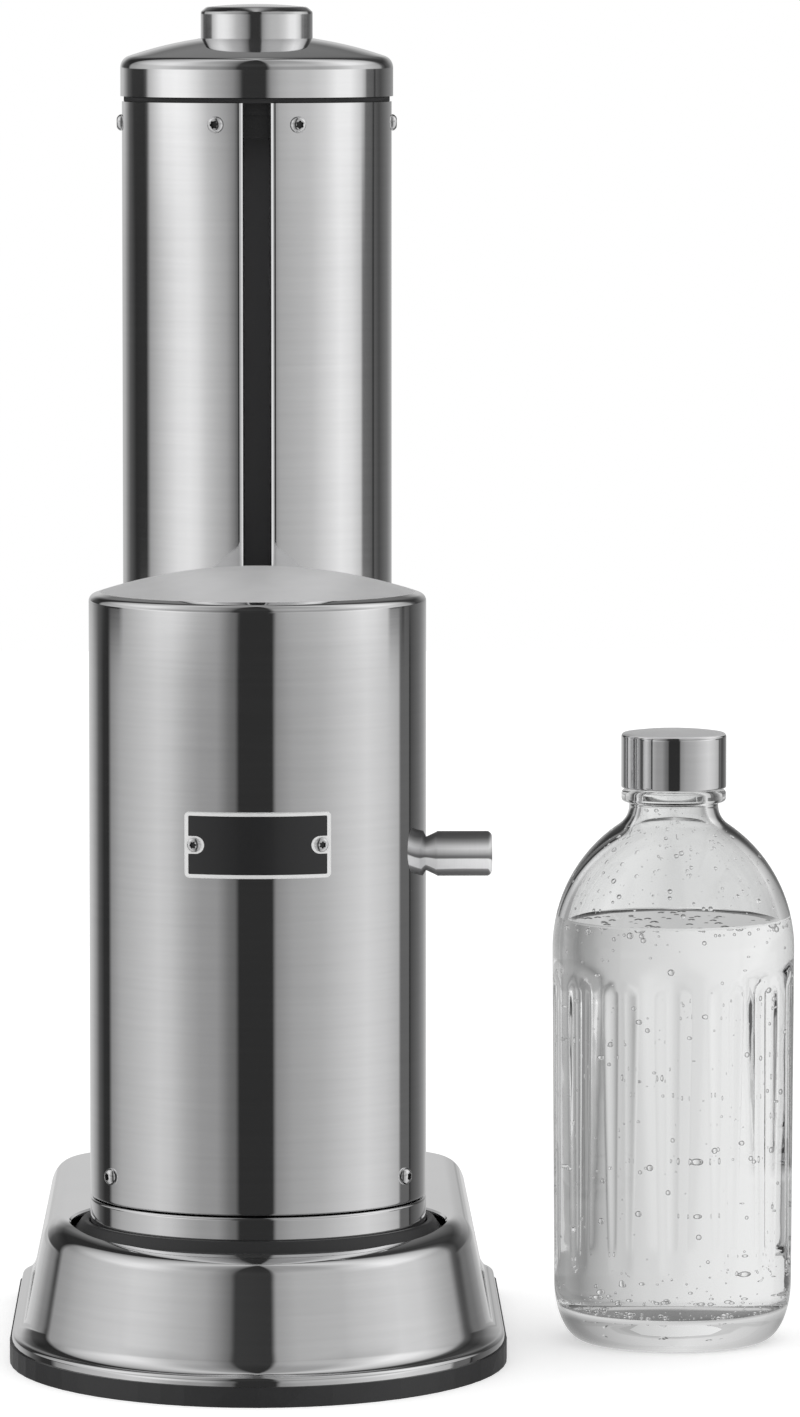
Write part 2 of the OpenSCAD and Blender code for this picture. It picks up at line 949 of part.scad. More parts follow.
hose_path = coil(hose_coil_r, hose_z0, hose_z1, hose_turns, hose_steps, 2 * hose_r);

module gas_hose() {
    color("#3c4043")
        translate([0, hose_y, 0])
            tube(hose_path, hose_r, tube_sides);
}

// Carriage that runs in the rail, its arm through the slot and the head on the arm
pad_proud = 0.4;
pad_t = 1.4;
pad_h = 16;
pad_in = 2;
pad_half = block_half;
pad_spread = 34;
arm_x = 3.5;
arm_h = 22;
arm_z0 = carriage_z1 - arm_h;
arm_reach = 22;
arm_rear = 50;
arm_room = 6;
arm_screw_up = [6, 16];
arm_screw_r = 1.5;
arm_screw_head_r = 2.5;
arm_screw_head_h = 1.5;
arm_screw_in = 3;
arm_screw_l = 22;
head_screw_y = [27, 33];
head_screw_head_r = 2;
head_screw_head_h = 1.2;
head_screw_r = 1.2;

module pad_places() {
    for (m = [0, 1])
        mirror([m, 0, 0])
            for (z = [carriage_z0 + pad_in, carriage_z0 + pad_in + pad_spread])
                box(
                    pad_half - pad_t, pad_half, block_y0 + pad_in, block_y1 - pad_in,
                    z, z + pad_h
                );
}

module carriage_block() {
    color("#404245")
        difference() {
            union() {
                box(
                    pad_proud - block_half, block_half - pad_proud, block_y0, block_y1,
                    carriage_z0, carriage_z1
                );
                box(
                    hose_coil_r - boss_w / 2, hose_coil_r + boss_w / 2,
                    hose_y + 2 * hose_r, block_y1,
                    carriage_z0 - boss_h + hose_r, carriage_z0 + over
                );
            }
            pad_places();
            for (up = arm_screw_up)
                translate([0, block_y1, arm_z0 + up])
                    rotate([90, 0, 0]) {
                        translate([0, 0, -over])
                            cylinder(r = arm_screw_r + hole_gap, h = block_d + 2 * over);
                        translate([0, 0, -over])
                            cylinder(r = arm_screw_head_r + hole_gap, h = arm_screw_in + over);
                    }
        }
}

module glide_pads() {
    color("#e8e6df")
        pad_places();
}

module lift_arm() {
    color("#8f9194")
        difference() {
            union() {
                box(-arm_x, arm_x, arm_reach, block_y0, arm_z0 + arm_room, carriage_z1);
                box(-arm_x, arm_x, arm_rear - arm_room, block_y0, arm_z0, carriage_z1);
                box(-arm_x, arm_x, arm_reach, arm_rear, carriage_z1 - over, head_z0);
            }
            for (up = arm_screw_up)
                translate([0, block_y0 + over, arm_z0 + up])
                    rotate([90, 0, 0])
                        cylinder(r = arm_screw_r + hole_gap, h = arm_screw_l - block_d + arm_screw_in);
            for (y = head_screw_y)
                translate([0, y, 0])
                    disc(head_screw_r + hole_gap, arm_z0, head_z0 + over);
        }
}

module arm_screws() {
    color("silver")
        for (up = arm_screw_up)
            translate([0, block_y1 - arm_screw_in, arm_z0 + up])
                rotate([-90, 0, 0])
                    screw(
                        arm_screw_head_r, arm_screw_head_h, arm_screw_r,
                        arm_screw_l - 2 * arm_screw_in
                    );
}

head_r = 36;
post_r1 = 6;
head_shoulder_r = 9;
bush_step_h = 4.1;
pivot_head_r = 8;
pivot_head_t = 2.8;
pivot_r = 2;
pivot_l = 10;
post_z2 = bush_z1 - bush_step_h + run_gap - hole_gap;
nozzle_r = 4;
nozzle_bore = 1.6;
nozzle_tip_h = 5;
nozzle_tip_r = 2.6;
nozzle_l = 115;
nozzle_in = 5;
seal_r = 16;

module head_body() {
    color("#9a9c9f")
        difference() {
            union() {
                disc(head_r, head_z0, head_z1);
                disc(head_shoulder_r, head_z0, post_z1);
                disc(post_r1, head_z0, post_z2);
            }
            disc(nozzle_r + hole_gap, head_z0 - over, head_z0 + nozzle_in);
            disc(pivot_r + hole_gap, post_z2 - pivot_l, post_z2 + over);
            for (y = head_screw_y)
                translate([0, y, 0])
                    disc(head_screw_r + hole_gap, head_z0 - over, head_z0 + nozzle_in);
        }
}

module head_screws() {
    color("silver")
        for (y = head_screw_y)
            translate([0, y, arm_z0 + arm_room])
                mirror([0, 0, 1])
                    screw(
                        head_screw_head_r, head_screw_head_h, head_screw_r,
                        head_z0 - arm_z0 - arm_room + nozzle_in - over
                    );
}

module bottle_seal() {
    color("#1f1f1f")
        ring(seal_r, nozzle_r + seat_gap, head_z0 - seal_t, head_z0);
}

module gas_nozzle() {
    color("#c9cbcd")
        difference() {
            rotate_extrude()
                polygon([
                    [0, head_z0 + nozzle_in], [nozzle_r, head_z0 + nozzle_in],
                    [nozzle_r, head_z0 - nozzle_l + nozzle_tip_h],
                    [nozzle_tip_r, head_z0 - nozzle_l], [0, head_z0 - nozzle_l]
                ]);
            disc(nozzle_bore, head_z0 - nozzle_l - over, head_z0 + nozzle_in + over);
        }
}

module pivot_screw() {
    color("silver")
        translate([0, 0, post_z2])
            screw(pivot_head_r, pivot_head_t, pivot_r, pivot_l - over);
}

// Chamber: a domed steel bell with its bush, lock ring, handle and front plate
bush_bore_gap = 0.05;
window_side = 6;
window_start = 90 - window_side;
window_end = 90 + window_side + lock_turn;
window_gap = 1.4;
chamber_screw_angles = lug_angles;
chamber_screw_up = 9;
chamber_screw_z = chamber_z0 + chamber_screw_up;
chamber_screw_r = 1.3;
chamber_screw_head_r = 2.75;
chamber_screw_head_h = 1.7;
chamber_screw_l = 2.9;
lock_up = 2;
lock_h = 14;
lug_reach_gap = 0.8;
lug_ri = collar_ro + lug_reach_gap;
lug_root = 0.3;
handle_z = chamber_z0 + handle_up;
handle_neck_r = 5.45;
handle_neck_l = 3.3;
handle_chamfer = 1;
stud_r = 2.5;
stud_in = 9;
nut_r = 4;
nut_t = 2.6;
plate_z = chamber_z0 + plate_up;
plate_t = 1.1;
plate_corner = 1.5;
plate_rim = 1.2;
inlay_t = 0.5;
inlay_sunk = 0.1;
plate_screw_in = 3.4;
plate_screw_x = plate_w / 2 - plate_screw_in;
plate_screw_turn = asin(plate_screw_x / chamber_r);
plate_screw_angles = [-90 - plate_screw_turn, -90 + plate_screw_turn];
plate_screw_r = 1.2;
plate_screw_head_r = 2.3;
plate_screw_head_h = 1;
plate_screw_l = 3;
notch_r = 2.8;
plate_floor = plate_t - inlay_t - inlay_sunk;

module chamber_shell() {
    color("#d9dadc")
        difference() {
            can(chamber_r, chamber_z0, chamber_top, chamber_dome_r, chamber_edge_r);
            can(
                chamber_ri, chamber_z0 - over, chamber_top - chamber_wall,
                chamber_dome_r - chamber_wall, chamber_edge_r - chamber_wall
            );
            ring_part(
                chamber_r + over, chamber_ri - over, arm_z0 - window_gap,
                carriage_z1 + window_gap, window_start, window_end
            );
            round_wall(0, chamber_screw_z, chamber_screw_angles)
                cylinder(r = chamber_screw_r + hole_gap, h = chamber_r + over);
            round_wall(0, handle_z, [0])
                cylinder(r = stud_r + hole_gap, h = chamber_r + over);
            round_wall(0, plate_z, plate_screw_angles)
                cylinder(r = plate_screw_r + hole_gap, h = chamber_r + over);
        }
}

module dome_bush() {
    color("#e4e2da")
        difference() {
            disc(bush_r, bush_z0, bush_z1 - seat_gap);
            disc(post_r1 + bush_bore_gap, bush_z0 - over, bush_z1 + over);
            disc(head_shoulder_r - run_gap, bush_z1 - bush_step_h, bush_z1 + over);
        }
}

module lock_ring() {
    color("#8b8d90")
        difference() {
            union() {
                ring(lock_ro, lock_ri, chamber_z0 + lock_up, chamber_z0 + lock_up + lock_h);
                for (a = lug_angles)
                    ring_part(
                        lock_ri + lug_root, lug_ri, lug_z0, lug_z0 + lug_t,
                        a - lug_half, a + lug_half
                    );
            }
            round_wall(0, chamber_screw_z, chamber_screw_angles)
                translate([0, 0, lock_ri - over])
                    cylinder(r = chamber_screw_r + hole_gap, h = chamber_r);
        }
}

module chamber_screws() {
    color("silver")
        round_wall(chamber_r + seat_gap, chamber_screw_z, chamber_screw_angles)
            screw(chamber_screw_head_r, chamber_screw_head_h, chamber_screw_r, chamber_screw_l);
}

module handle_knob() {
    color("#cfd0d2")
        difference() {
            round_wall(0, handle_z, [0])
                rotate_extrude()
                    polygon([
                        [0, chamber_ri],
                        [handle_neck_r, chamber_ri],
                        [handle_neck_r, chamber_r],
                        [handle_r, chamber_r + handle_neck_l],
                        [handle_r, chamber_r + handle_len - handle_chamfer],
                        [handle_r - handle_chamfer, chamber_r + handle_len],
                        [0, chamber_r + handle_len]
                    ]);
            disc(chamber_r + seat_gap, 0, chamber_top);
            round_wall(0, handle_z, [0])
                cylinder(r = stud_r + seat_gap, h = chamber_r + stud_in + hole_gap);
        }
}

module handle_stud() {
    color("silver")
        round_wall(chamber_ri - nut_t - run_gap, handle_z, [0])
            cylinder(r = stud_r, h = stud_in + nut_t + chamber_wall + run_gap);
}

module handle_nut() {
    color("silver")
        round_wall(chamber_ri - nut_t - run_gap / 2, handle_z, [0])
            difference() {
                cylinder(r = nut_r, h = nut_t, $fn = 6);
                translate([0, 0, -over])
                    cylinder(r = stud_r + seat_gap, h = nut_t + 2 * over);
            }
}

// A rounded rectangle, run out from the chamber's axis to the front
module front_block(w, h, r, depth) {
    translate([0, 0, plate_z])
        rotate([90, 0, 0])
            linear_extrude(depth) {
                square([w - 2 * r, h], center = true);
                square([w, h - 2 * r], center = true);
                for (x = [-1, 1], y = [-1, 1])
                    translate([x * (w / 2 - r), y * (h / 2 - r)])
                        circle(r = r);
            }
}

module inlay_block(gap) {
    w = plate_w - 2 * plate_rim - 2 * gap;
    h = plate_h - 2 * plate_rim - 2 * gap;
    difference() {
        front_block(w, h, plate_corner - plate_rim + 2 * gap, chamber_r + 2 * plate_t);
        translate([0, 0, plate_z])
            rotate([90, 0, 0])
                linear_extrude(chamber_r + 3 * plate_t)
                    for (m = [0, 1])
                        mirror([m, 0]) {
                            translate([plate_screw_x, 0])
                                circle(r = notch_r + gap);
                            translate([plate_screw_x, -notch_r - gap])
                                square([plate_w, 2 * (notch_r + gap)]);
                        }
    }
}

module nameplate() {
    color("#cfd0d2")
        difference() {
            intersection() {
                front_block(plate_w, plate_h, plate_corner, chamber_r + 2 * plate_t);
                ring(
                    chamber_r + plate_t, chamber_r + seat_gap,
                    plate_z - plate_h, plate_z + plate_h
                );
            }
            difference() {
                inlay_block(0);
                disc(chamber_r + plate_floor, plate_z - plate_h, plate_z + plate_h);
            }
            round_wall(0, plate_z, plate_screw_angles)
                cylinder(r = plate_screw_r + hole_gap, h = chamber_r + 2 * plate_t);
        }
}

module nameplate_inlay() {
    color("#1f1f20")
        intersection() {
            inlay_block(seat_gap);
            ring(
                chamber_r + plate_t - inlay_sunk, chamber_r + plate_floor + seat_gap / 2,
                plate_z - plate_h, plate_z + plate_h
            );
        }
}

module nameplate_screws() {
    color("silver")
        round_wall(chamber_r + plate_t + seat_gap, plate_z, plate_screw_angles)
            screw(plate_screw_head_r, plate_screw_head_h, plate_screw_r, plate_screw_l);
}

// Gas cylinder, and the pin in its valve
cylinder_foot = 4;
cylinder_dome_h = 26;
neck_h = 24;
neck_fillet = 3;
pin_gap = 0.1;
cylinder_wall = 3;
cylinder_dish = 5;

module gas_cylinder() {
    shoulder = neck_z - neck_h;
    dome_z = shoulder - cylinder_dome_h;
    color("#c4c6c8")
        at_cylinder()
            difference() {
                rotate_extrude()
                    polygon(concat(
                        [
                            [0, cylinder_z0 + cylinder_dish],
                            [cylinder_r - 3 * cylinder_foot, cylinder_z0 + cylinder_dish],
                            [cylinder_r - 2 * cylinder_foot, cylinder_z0],
                            [cylinder_r - cylinder_foot, cylinder_z0]
                        ],
                        arc(
                            cylinder_r - cylinder_foot, cylinder_z0 + cylinder_foot,
                            cylinder_foot, -75, 0, 5
                        ),
                        [for (a = [0 : 12 : 60])
                            [
                                neck_r + neck_fillet + (cylinder_r - neck_r - neck_fillet) * cos(a),
                                dome_z + cylinder_dome_h * sin(a)
                            ]],
                        [[neck_r, shoulder], [neck_r, neck_z], [0, neck_z]]
                    ));
                disc(pin_r + pin_gap, dome_z, neck_z + over);
                rotate_extrude()
                    polygon(concat(
                        [
                            [0, cylinder_z0 + cylinder_dish + cylinder_wall],
                            [
                                cylinder_r - cylinder_wall - cylinder_foot,
                                cylinder_z0 + cylinder_dish + cylinder_wall
                            ],
                            [cylinder_r - cylinder_wall, cylinder_z0 + 3 * cylinder_foot]
                        ],
                        [for (a = [0 : 15 : 60])
                            [
                                neck_r + (cylinder_r - cylinder_wall - neck_r) * cos(a),
                                dome_z + (cylinder_dome_h - cylinder_wall) * sin(a)
                            ]],
                        [[0, dome_z + (cylinder_dome_h - cylinder_wall) * sin(60)]]
                    ));
            }
}

module cylinder_pin() {
    color("#b08d3c")
        at_cylinder()
            disc(pin_r, neck_z - pin_h + button_travel + pin_gap, pin_z1);
}

// Bottle: fluted body, pushed-up bottom, round shoulder and a bead under the thread
heel_w = 10;
heel_h = 20;
heel_taper = 0.7;
body_down = 67;
body_top_z = bottle_h - body_down;
shoulder_r = 49.3;
neck_ro = 14.6;
neck_bend = 7.5;
bead_ro = 17.1;
bead_h = 4.1;
bead_chamfer = 1.2;
finish_h = 14.6;
finish_r = 13.8;
punt_h = 5;
punt_r = 22;
floor_h = 10;
bead_z1 = bottle_h - finish_h;
shoulder_x = bottle_r - shoulder_r;
bend_x = neck_ro + neck_bend;
bend_z = body_top_z + sqrt(pow(shoulder_r + neck_bend, 2) - pow(bend_x - shoulder_x, 2));
bend_turn = atan2(bend_z - body_top_z, bend_x - shoulder_x);
heel_x = bottle_r - heel_taper - heel_w;
inner_heel_r = 9;
flute_z0 = 27;
flute_down = 12;
flute_z1 = body_top_z - flute_down;
flute_ball = 24;
flute_run = 12;
flute_draw = 3;
flute_at = bottle_r - flute_depth + flute_ball;

// Half section of the bottle, set in by a wall
function bottle_side(wall) = concat(
    [[bottle_r - wall, body_top_z]],
    arc(shoulder_x, body_top_z, shoulder_r - wall, 6, bend_turn, 9),
    arc(bend_x, bend_z, neck_bend + wall, 180 + bend_turn - 14, 180, 4)
);

module flute_cutter() {
    translate([0, 0, flute_z0])
        cylinder(r = flute_ball, h = flute_z1 - flute_z0);
    for (end = [[flute_z1, 0], [flute_z0, 1]])
        translate([0, 0, end[0]])
            mirror([0, 0, end[1]])
                cylinder(r1 = flute_ball, r2 = flute_ball - flute_draw, h = flute_run);
}

module bottle_glass() {
    color("#dfe9ea", 0.5)
        at_bottle()
            rotate([0, 0, bottle_turn])
                difference() {
                    rotate_extrude()
                        polygon(concat(
                            [[0, punt_h], [punt_r, punt_h / 2], [heel_x, 0]],
                            [for (a = [15 : 15 : 90])
                                [heel_x + heel_w * sin(a), heel_h * (1 - cos(a))]],
                            bottle_side(0),
                            [
                                [neck_ro, bead_z1 - bead_h - bead_chamfer / 2],
                                [bead_ro - bead_chamfer, bead_z1 - bead_h],
                                [bead_ro, bead_z1 - bead_h + bead_chamfer],
                                [bead_ro, bead_z1 - bead_chamfer],
                                [bead_ro - bead_chamfer, bead_z1],
                                [finish_r, bead_z1],
                                [finish_r, bottle_h],
                                [0, bottle_h]
                            ]
                        ));
                    rotate_extrude()
                        polygon(concat(
                            [[0, floor_h], [bottle_r - glass_t - heel_taper - inner_heel_r, floor_h]],
                            arc(
                                bottle_r - glass_t - heel_taper - inner_heel_r,
                                floor_h + inner_heel_r, inner_heel_r, -75, 0, 5
                            ),
                            bottle_side(glass_t),
                            [[neck_ro - glass_t, bottle_h + over], [0, bottle_h + over]]
                        ));
                    for (i = [1 : flute_count])
                        rotate([0, 0, 360 * i / flute_count - 90])
                            translate([flute_at, 0, 0])
                                flute_cutter();
                }
}

// Bottle cap: a steel cover over a threaded insert, and the liner that seals on the glass
cap_bottom_gap = 0.5;
bottle_cap_r = 17.2;
bottle_cap_h = 19.2;
bottle_cap_wall = 1;
bottle_cap_ball = 46;
bottle_cap_edge = 1.3;
bottle_cap_z0 = bead_z1 + cap_bottom_gap;
bottle_cap_z1 = bottle_cap_z0 + bottle_cap_h;
insert_gap = 0.1;
insert_ri = finish_r + run_gap;
insert_in = 0.6;
liner_t = 1.2;

module bottle_cap() {
    color("#d2d3d5")
        at_bottle()
            difference() {
                can(
                    bottle_cap_r, bottle_cap_z0, bottle_cap_z1,
                    bottle_cap_ball, bottle_cap_edge
                );
                can(
                    bottle_cap_r - bottle_cap_wall, bottle_cap_z0 - over,
                    bottle_cap_z1 - bottle_cap_wall,
                    bottle_cap_ball - bottle_cap_wall, bottle_cap_edge - bottle_cap_wall
                );
            }
}

module cap_insert() {
    set_in = bottle_cap_wall + insert_gap;
    color("#1c1c1c")
        at_bottle()
            difference() {
                can(
                    bottle_cap_r - set_in, bottle_cap_z0 + insert_in, bottle_cap_z1 - set_in,
                    bottle_cap_ball - set_in, bottle_cap_edge - set_in
                );
                disc(insert_ri, bottle_cap_z0, bottle_h + liner_t + run_gap);
            }
}

module cap_liner() {
    color("#ececea")
        at_bottle()
            disc(insert_ri - run_gap, bottle_h + seat_gap, bottle_h + seat_gap + liner_t);
}

echo(hose_gap = least_gap(hose_path, hose_r, hose_steps));
echo(spring_gap = least_gap(spring_path, spring_wire, spring_steps));

foot_plate();
base_screws();
base_frame();
base_shell();
drip_ring();
bottle_cup();
bayonet_collar();
collar_screws();
bottle_seat();
column_tube();
column_screws();
guide_rail();
top_frame();
cap_gasket();
top_cap();
cap_screws();
valve_body();
valve_screws();
valve_gasket();
relief_valve();
gas_pipe();
gas_manifold();
gas_hose();
carriage_block();
glide_pads();
lift_arm();
arm_screws();
head_body();
head_screws();
bottle_seal();
gas_nozzle();
pivot_screw();
chamber_shell();
dome_bush();
lock_ring();
chamber_screws();
handle_knob();
handle_stud();
handle_nut();
nameplate();
nameplate_inlay();
nameplate_screws();
button();
push_rod();
button_spring();
gas_cylinder();
cylinder_pin();
bottle_glass();
bottle_cap();
cap_insert();
cap_liner();
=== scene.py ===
# A sparkling water maker in polished steel, with its fluted glass bottle standing beside it.
# The sections follow the machine from the studio and the base up to the button, then the bottle.
import json
import math

import bmesh
import bpy
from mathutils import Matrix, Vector

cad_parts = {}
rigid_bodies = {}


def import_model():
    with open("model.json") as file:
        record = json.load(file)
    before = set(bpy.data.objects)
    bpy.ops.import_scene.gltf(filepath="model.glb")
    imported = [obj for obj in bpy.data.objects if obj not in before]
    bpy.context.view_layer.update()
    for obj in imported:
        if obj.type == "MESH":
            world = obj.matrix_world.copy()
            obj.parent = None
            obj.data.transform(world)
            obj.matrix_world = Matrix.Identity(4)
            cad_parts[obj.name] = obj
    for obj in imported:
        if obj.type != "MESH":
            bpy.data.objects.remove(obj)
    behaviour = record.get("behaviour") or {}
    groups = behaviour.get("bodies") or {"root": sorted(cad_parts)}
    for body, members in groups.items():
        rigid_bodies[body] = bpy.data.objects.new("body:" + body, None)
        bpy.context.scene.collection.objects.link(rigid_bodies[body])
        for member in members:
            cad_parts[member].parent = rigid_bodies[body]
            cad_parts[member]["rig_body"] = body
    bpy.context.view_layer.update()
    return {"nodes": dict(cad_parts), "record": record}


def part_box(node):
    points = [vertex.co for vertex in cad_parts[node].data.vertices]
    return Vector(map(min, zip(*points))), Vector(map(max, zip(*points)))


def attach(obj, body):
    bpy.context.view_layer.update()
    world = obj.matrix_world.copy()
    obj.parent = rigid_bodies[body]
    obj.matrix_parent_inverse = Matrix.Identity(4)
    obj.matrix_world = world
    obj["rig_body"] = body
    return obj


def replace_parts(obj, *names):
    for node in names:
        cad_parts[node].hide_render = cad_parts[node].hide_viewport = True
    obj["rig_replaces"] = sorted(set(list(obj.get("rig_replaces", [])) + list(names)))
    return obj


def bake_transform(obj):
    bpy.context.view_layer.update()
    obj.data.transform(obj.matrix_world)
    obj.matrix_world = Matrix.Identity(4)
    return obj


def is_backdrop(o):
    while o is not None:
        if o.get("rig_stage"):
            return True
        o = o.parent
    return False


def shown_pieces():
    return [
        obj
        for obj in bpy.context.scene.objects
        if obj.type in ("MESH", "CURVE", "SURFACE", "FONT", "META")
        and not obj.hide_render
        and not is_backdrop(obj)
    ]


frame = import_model()
scene = bpy.context.scene
scene.view_settings.view_transform = "Standard"

# Studio: a long lens straight in front, a little above the machine, as in the photograph.
# Tall soft boxes stand left and right with a dark gap between them, and the rest is pale.
camera_at = Vector((0.0, -2.836, 0.449))
camera_aim = Vector((0.04563, 0.0, 0.21236))
camera_lens = 225.66

camera_data = bpy.data.cameras.new("camera")
camera_data.lens = camera_lens
camera_data.sensor_width = 36
camera_data.clip_end = 20
camera = bpy.data.objects.new("camera", camera_data)
camera.location = camera_at
camera.rotation_euler = (camera_aim - camera_at).to_track_quat("-Z", "Y").to_euler()
scene.collection.objects.link(camera)
scene.camera = camera


def node(tree, kind, links=(), **values):
    """Adds a node, sets its values and links its inputs from (input, output) pairs."""
    made = tree.nodes.new(kind)
    for name, value in values.items():
        setattr(made, name, value)
    for socket, source in links:
        if hasattr(source, "is_output"):
            tree.links.new(source, made.inputs[socket])
        else:
            made.inputs[socket].default_value = source
    return made


def maths(tree, how, *values):
    """A sum on numbers or sockets."""
    return node(tree, "ShaderNodeMath", list(enumerate(values)), operation=how).outputs[0]


def mixed(tree, factor, one, other, how="MIX"):
    """Two colours mixed by a factor."""
    return node(
        tree, "ShaderNodeMix", [("Factor", factor), (6, one), (7, other)],
        data_type="RGBA", blend_type=how,
    ).outputs[2]


def either(tree, factor, one, other):
    """Two shaders mixed by a factor."""
    return node(tree, "ShaderNodeMixShader", [(0, factor), (1, one), (2, other)]).outputs[0]


def ramp(tree, source, stops):
    """A colour ramp of grey stops, each a place and a level."""
    made = node(tree, "ShaderNodeValToRGB", [("Fac", source)])
    bar = made.color_ramp.elements
    bar[0].position, bar[1].position = stops[0][0], stops[-1][0]
    for place, _ in stops[1:-1]:
        bar.new(place)
    for element, (_, level) in zip(bar, stops):
        element.color = (level, level, level, 1)
    return made.outputs["Color"]


# Levels of the studio round the horizon: degrees from the camera's side towards +X, and level.
# The soft boxes are brightest level with the machine's cap and dimmer towards the table.
# A ramp holds 32 stops at most.
low_ring = [
    (-180, 0.75), (-156, 0.51), (-147, 0.33), (-140, 0.115), (-131, 0.033),
    (-123.5, 0.030), (-119.5, 0.30), (-108, 0.455), (-88, 0.585), (-72, 0.69), (-62, 0.63),
    (-50, 0.45), (-40, 0.355), (-28, 0.33), (-20, 0.19), (-15, 0.15), (-13, 0.031),
    (10.2, 0.031), (12, 0.28), (24, 0.40), (44, 0.49), (62, 0.64), (80, 0.765), (98, 0.66),
    (112.5, 0.50), (115, 0.14), (126.5, 0.14), (128, 0.01), (129.5, 0.075), (144, 0.163),
    (156, 0.31), (180, 0.75),
]
middle_ring = [
    (-180, 0.60), (-156, 0.47), (-148, 0.27), (-140, 0.115), (-127, 0.030),
    (-109.5, 0.034), (-104, 0.39), (-84, 0.69), (-72, 0.865), (-60, 0.925),
    (-52, 0.845), (-44, 0.66), (-36, 0.54), (-26, 0.41), (-18, 0.19), (-14, 0.14),
    (-12, 0.030), (10.5, 0.030), (13, 0.34), (20, 0.45), (48, 0.59), (60, 0.75),
    (76, 0.955), (88, 0.86), (100, 0.62), (103, 0.17), (116, 0.12),
    (118.5, 0.02), (121, 0.12), (129, 0.075), (148, 0.184), (180, 0.60),
]
high_ring = [
    (-180, 0.60), (-156, 0.55), (-148, 0.34), (-140, 0.125), (-130, 0.040), (-112, 0.033),
    (-108, 0.10), (-104, 0.53), (-86, 1.03), (-72, 1.085), (-62, 1.01),
    (-52, 0.81), (-42, 0.56), (-20, 0.287), (-15, 0.15), (-12, 0.035), (7, 0.035),
    (11, 0.30), (20, 0.484), (30, 0.573), (44, 0.60), (60, 0.77), (72, 1.02), (86, 1.03),
    (100, 0.70), (104.5, 0.50), (107, 0.15), (117, 0.12), (119, 0.015), (121, 0.11), (129, 0.075),
    (180, 0.42),
]
base_ring = [
    (-180, 0.62), (-172, 0.59), (-166, 0.53), (-160, 0.26), (-153, 0.082), (-147, 0.055),
    (-139, 0.031), (-135, 0.34), (-127, 0.39), (-120, 0.466), (-105, 0.59), (-90, 0.673),
    (-82, 0.665), (-73, 0.585), (-56, 0.413), (-36, 0.308), (-26, 0.204), (-19, 0.12),
    (-16, 0.036), (9, 0.030), (12, 0.28), (26, 0.36), (56, 0.40), (74, 0.557), (90, 0.745),
    (105, 0.70), (120, 0.50), (129, 0.39), (134, 0.11), (140, 0.05), (150, 0.12), (180, 0.62),
]
# High up behind the machine the studio is dark, as the cap's dome shows
back_level = [
    (-180, 0.26), (-150, 0.30), (-125, 1), (0, 1), (125, 1), (150, 0.30), (180, 0.26),
]
back_share = [(-1, 0), (0.16, 0), (0.32, 1), (0.85, 1), (0.97, 0.3), (1, 0.3)]
# The backdrop that the glass shows: darker to the bottle's left, which glass bends to the right
glass_ring = [
    (-180, 0.80), (-165, 0.86), (-150, 0.88), (-120, 0.90), (-60, 0.70), (0, 0.35), (60, 0.30),
    (110, 0.30), (138, 0.34), (148, 0.24), (156, 0.40), (164, 0.58), (172, 0.70), (180, 0.80),
]
# Where each ring shows and how bright it is, by the sine of the angle above the horizon
base_share = [(-1, 0), (-0.006, 0), (0.016, 1), (1, 1)]
middle_share = [(-1, 0), (-0.078, 0), (-0.072, 1), (0.05, 1), (0.14, 0), (1, 0)]
high_share = [(-1, 0), (-0.032, 0), (-0.014, 1), (0.04, 1), (0.12, 0), (1, 0)]
upwards = [(-1, 0.85), (-0.3, 1), (0.27, 1), (0.42, 1.35), (0.6, 1.35), (0.8, 1.05), (1, 0.9)]
world = bpy.data.worlds.new("studio")
world.use_nodes = True
scene.world = world
sky = world.node_tree
sky.nodes.clear()
way = node(sky, "ShaderNodeTexCoord").outputs["Generated"]
parts = node(sky, "ShaderNodeSeparateXYZ", [("Vector", way)]).outputs
turn = maths(sky, "ARCTAN2", parts["X"], maths(sky, "MULTIPLY", parts["Y"], -1.0))
share = maths(sky, "MULTIPLY_ADD", turn, 1 / math.tau, 0.5)
height = maths(sky, "MULTIPLY_ADD", parts["Z"], 0.5, 0.5)
rings = [
    ramp(sky, share, [(a / 360 + 0.5, level) for a, level in ring])
    for ring in (low_ring, middle_ring, high_ring, base_ring, glass_ring, back_level)
]
heights = [
    ramp(sky, height, [(z / 2 + 0.5, level) for z, level in stops])
    for stops in (middle_share, high_share, base_share, upwards, back_share)
]
studio = mixed(sky, heights[0], rings[0], rings[1])
studio = mixed(sky, heights[1], studio, rings[2])
studio = mixed(sky, heights[2], studio, rings[3])
studio = mixed(sky, 1.0, studio, heights[3], "MULTIPLY")
studio = mixed(sky, heights[4], studio, rings[5], "MULTIPLY")


def background(colour, strength):
    """Light from the studio."""
    values = [("Color", colour), ("Strength", strength)]
    return node(sky, "ShaderNodeBackground", values).outputs[0]


# Steel sees the studio, also through glass that a mirror shows. Glass before the camera sees the
# backdrop, the camera sees white, and the rest is lit softly.
white = (1, 1, 1, 1)
soft_strength = 0.85
rays = node(sky, "ShaderNodeLightPath").outputs
mirrored = maths(sky, "GREATER_THAN", rays["Glossy Depth"], 0.5)
mirrored_through = maths(sky, "MULTIPLY", rays["Is Transmission Ray"], mirrored)
polished_way = maths(sky, "MAXIMUM", rays["Is Glossy Ray"], mirrored_through)
through = maths(sky, "SUBTRACT", rays["Is Transmission Ray"], mirrored_through)
shown = either(sky, polished_way, background(white, soft_strength), background(studio, 1.0))
shown = either(sky, through, shown, background(rings[4], 1.0))
shown = either(sky, rays["Is Camera Ray"], shown, background(white, 1.0))
node(sky, "ShaderNodeOutputWorld", [("Surface", shown)])

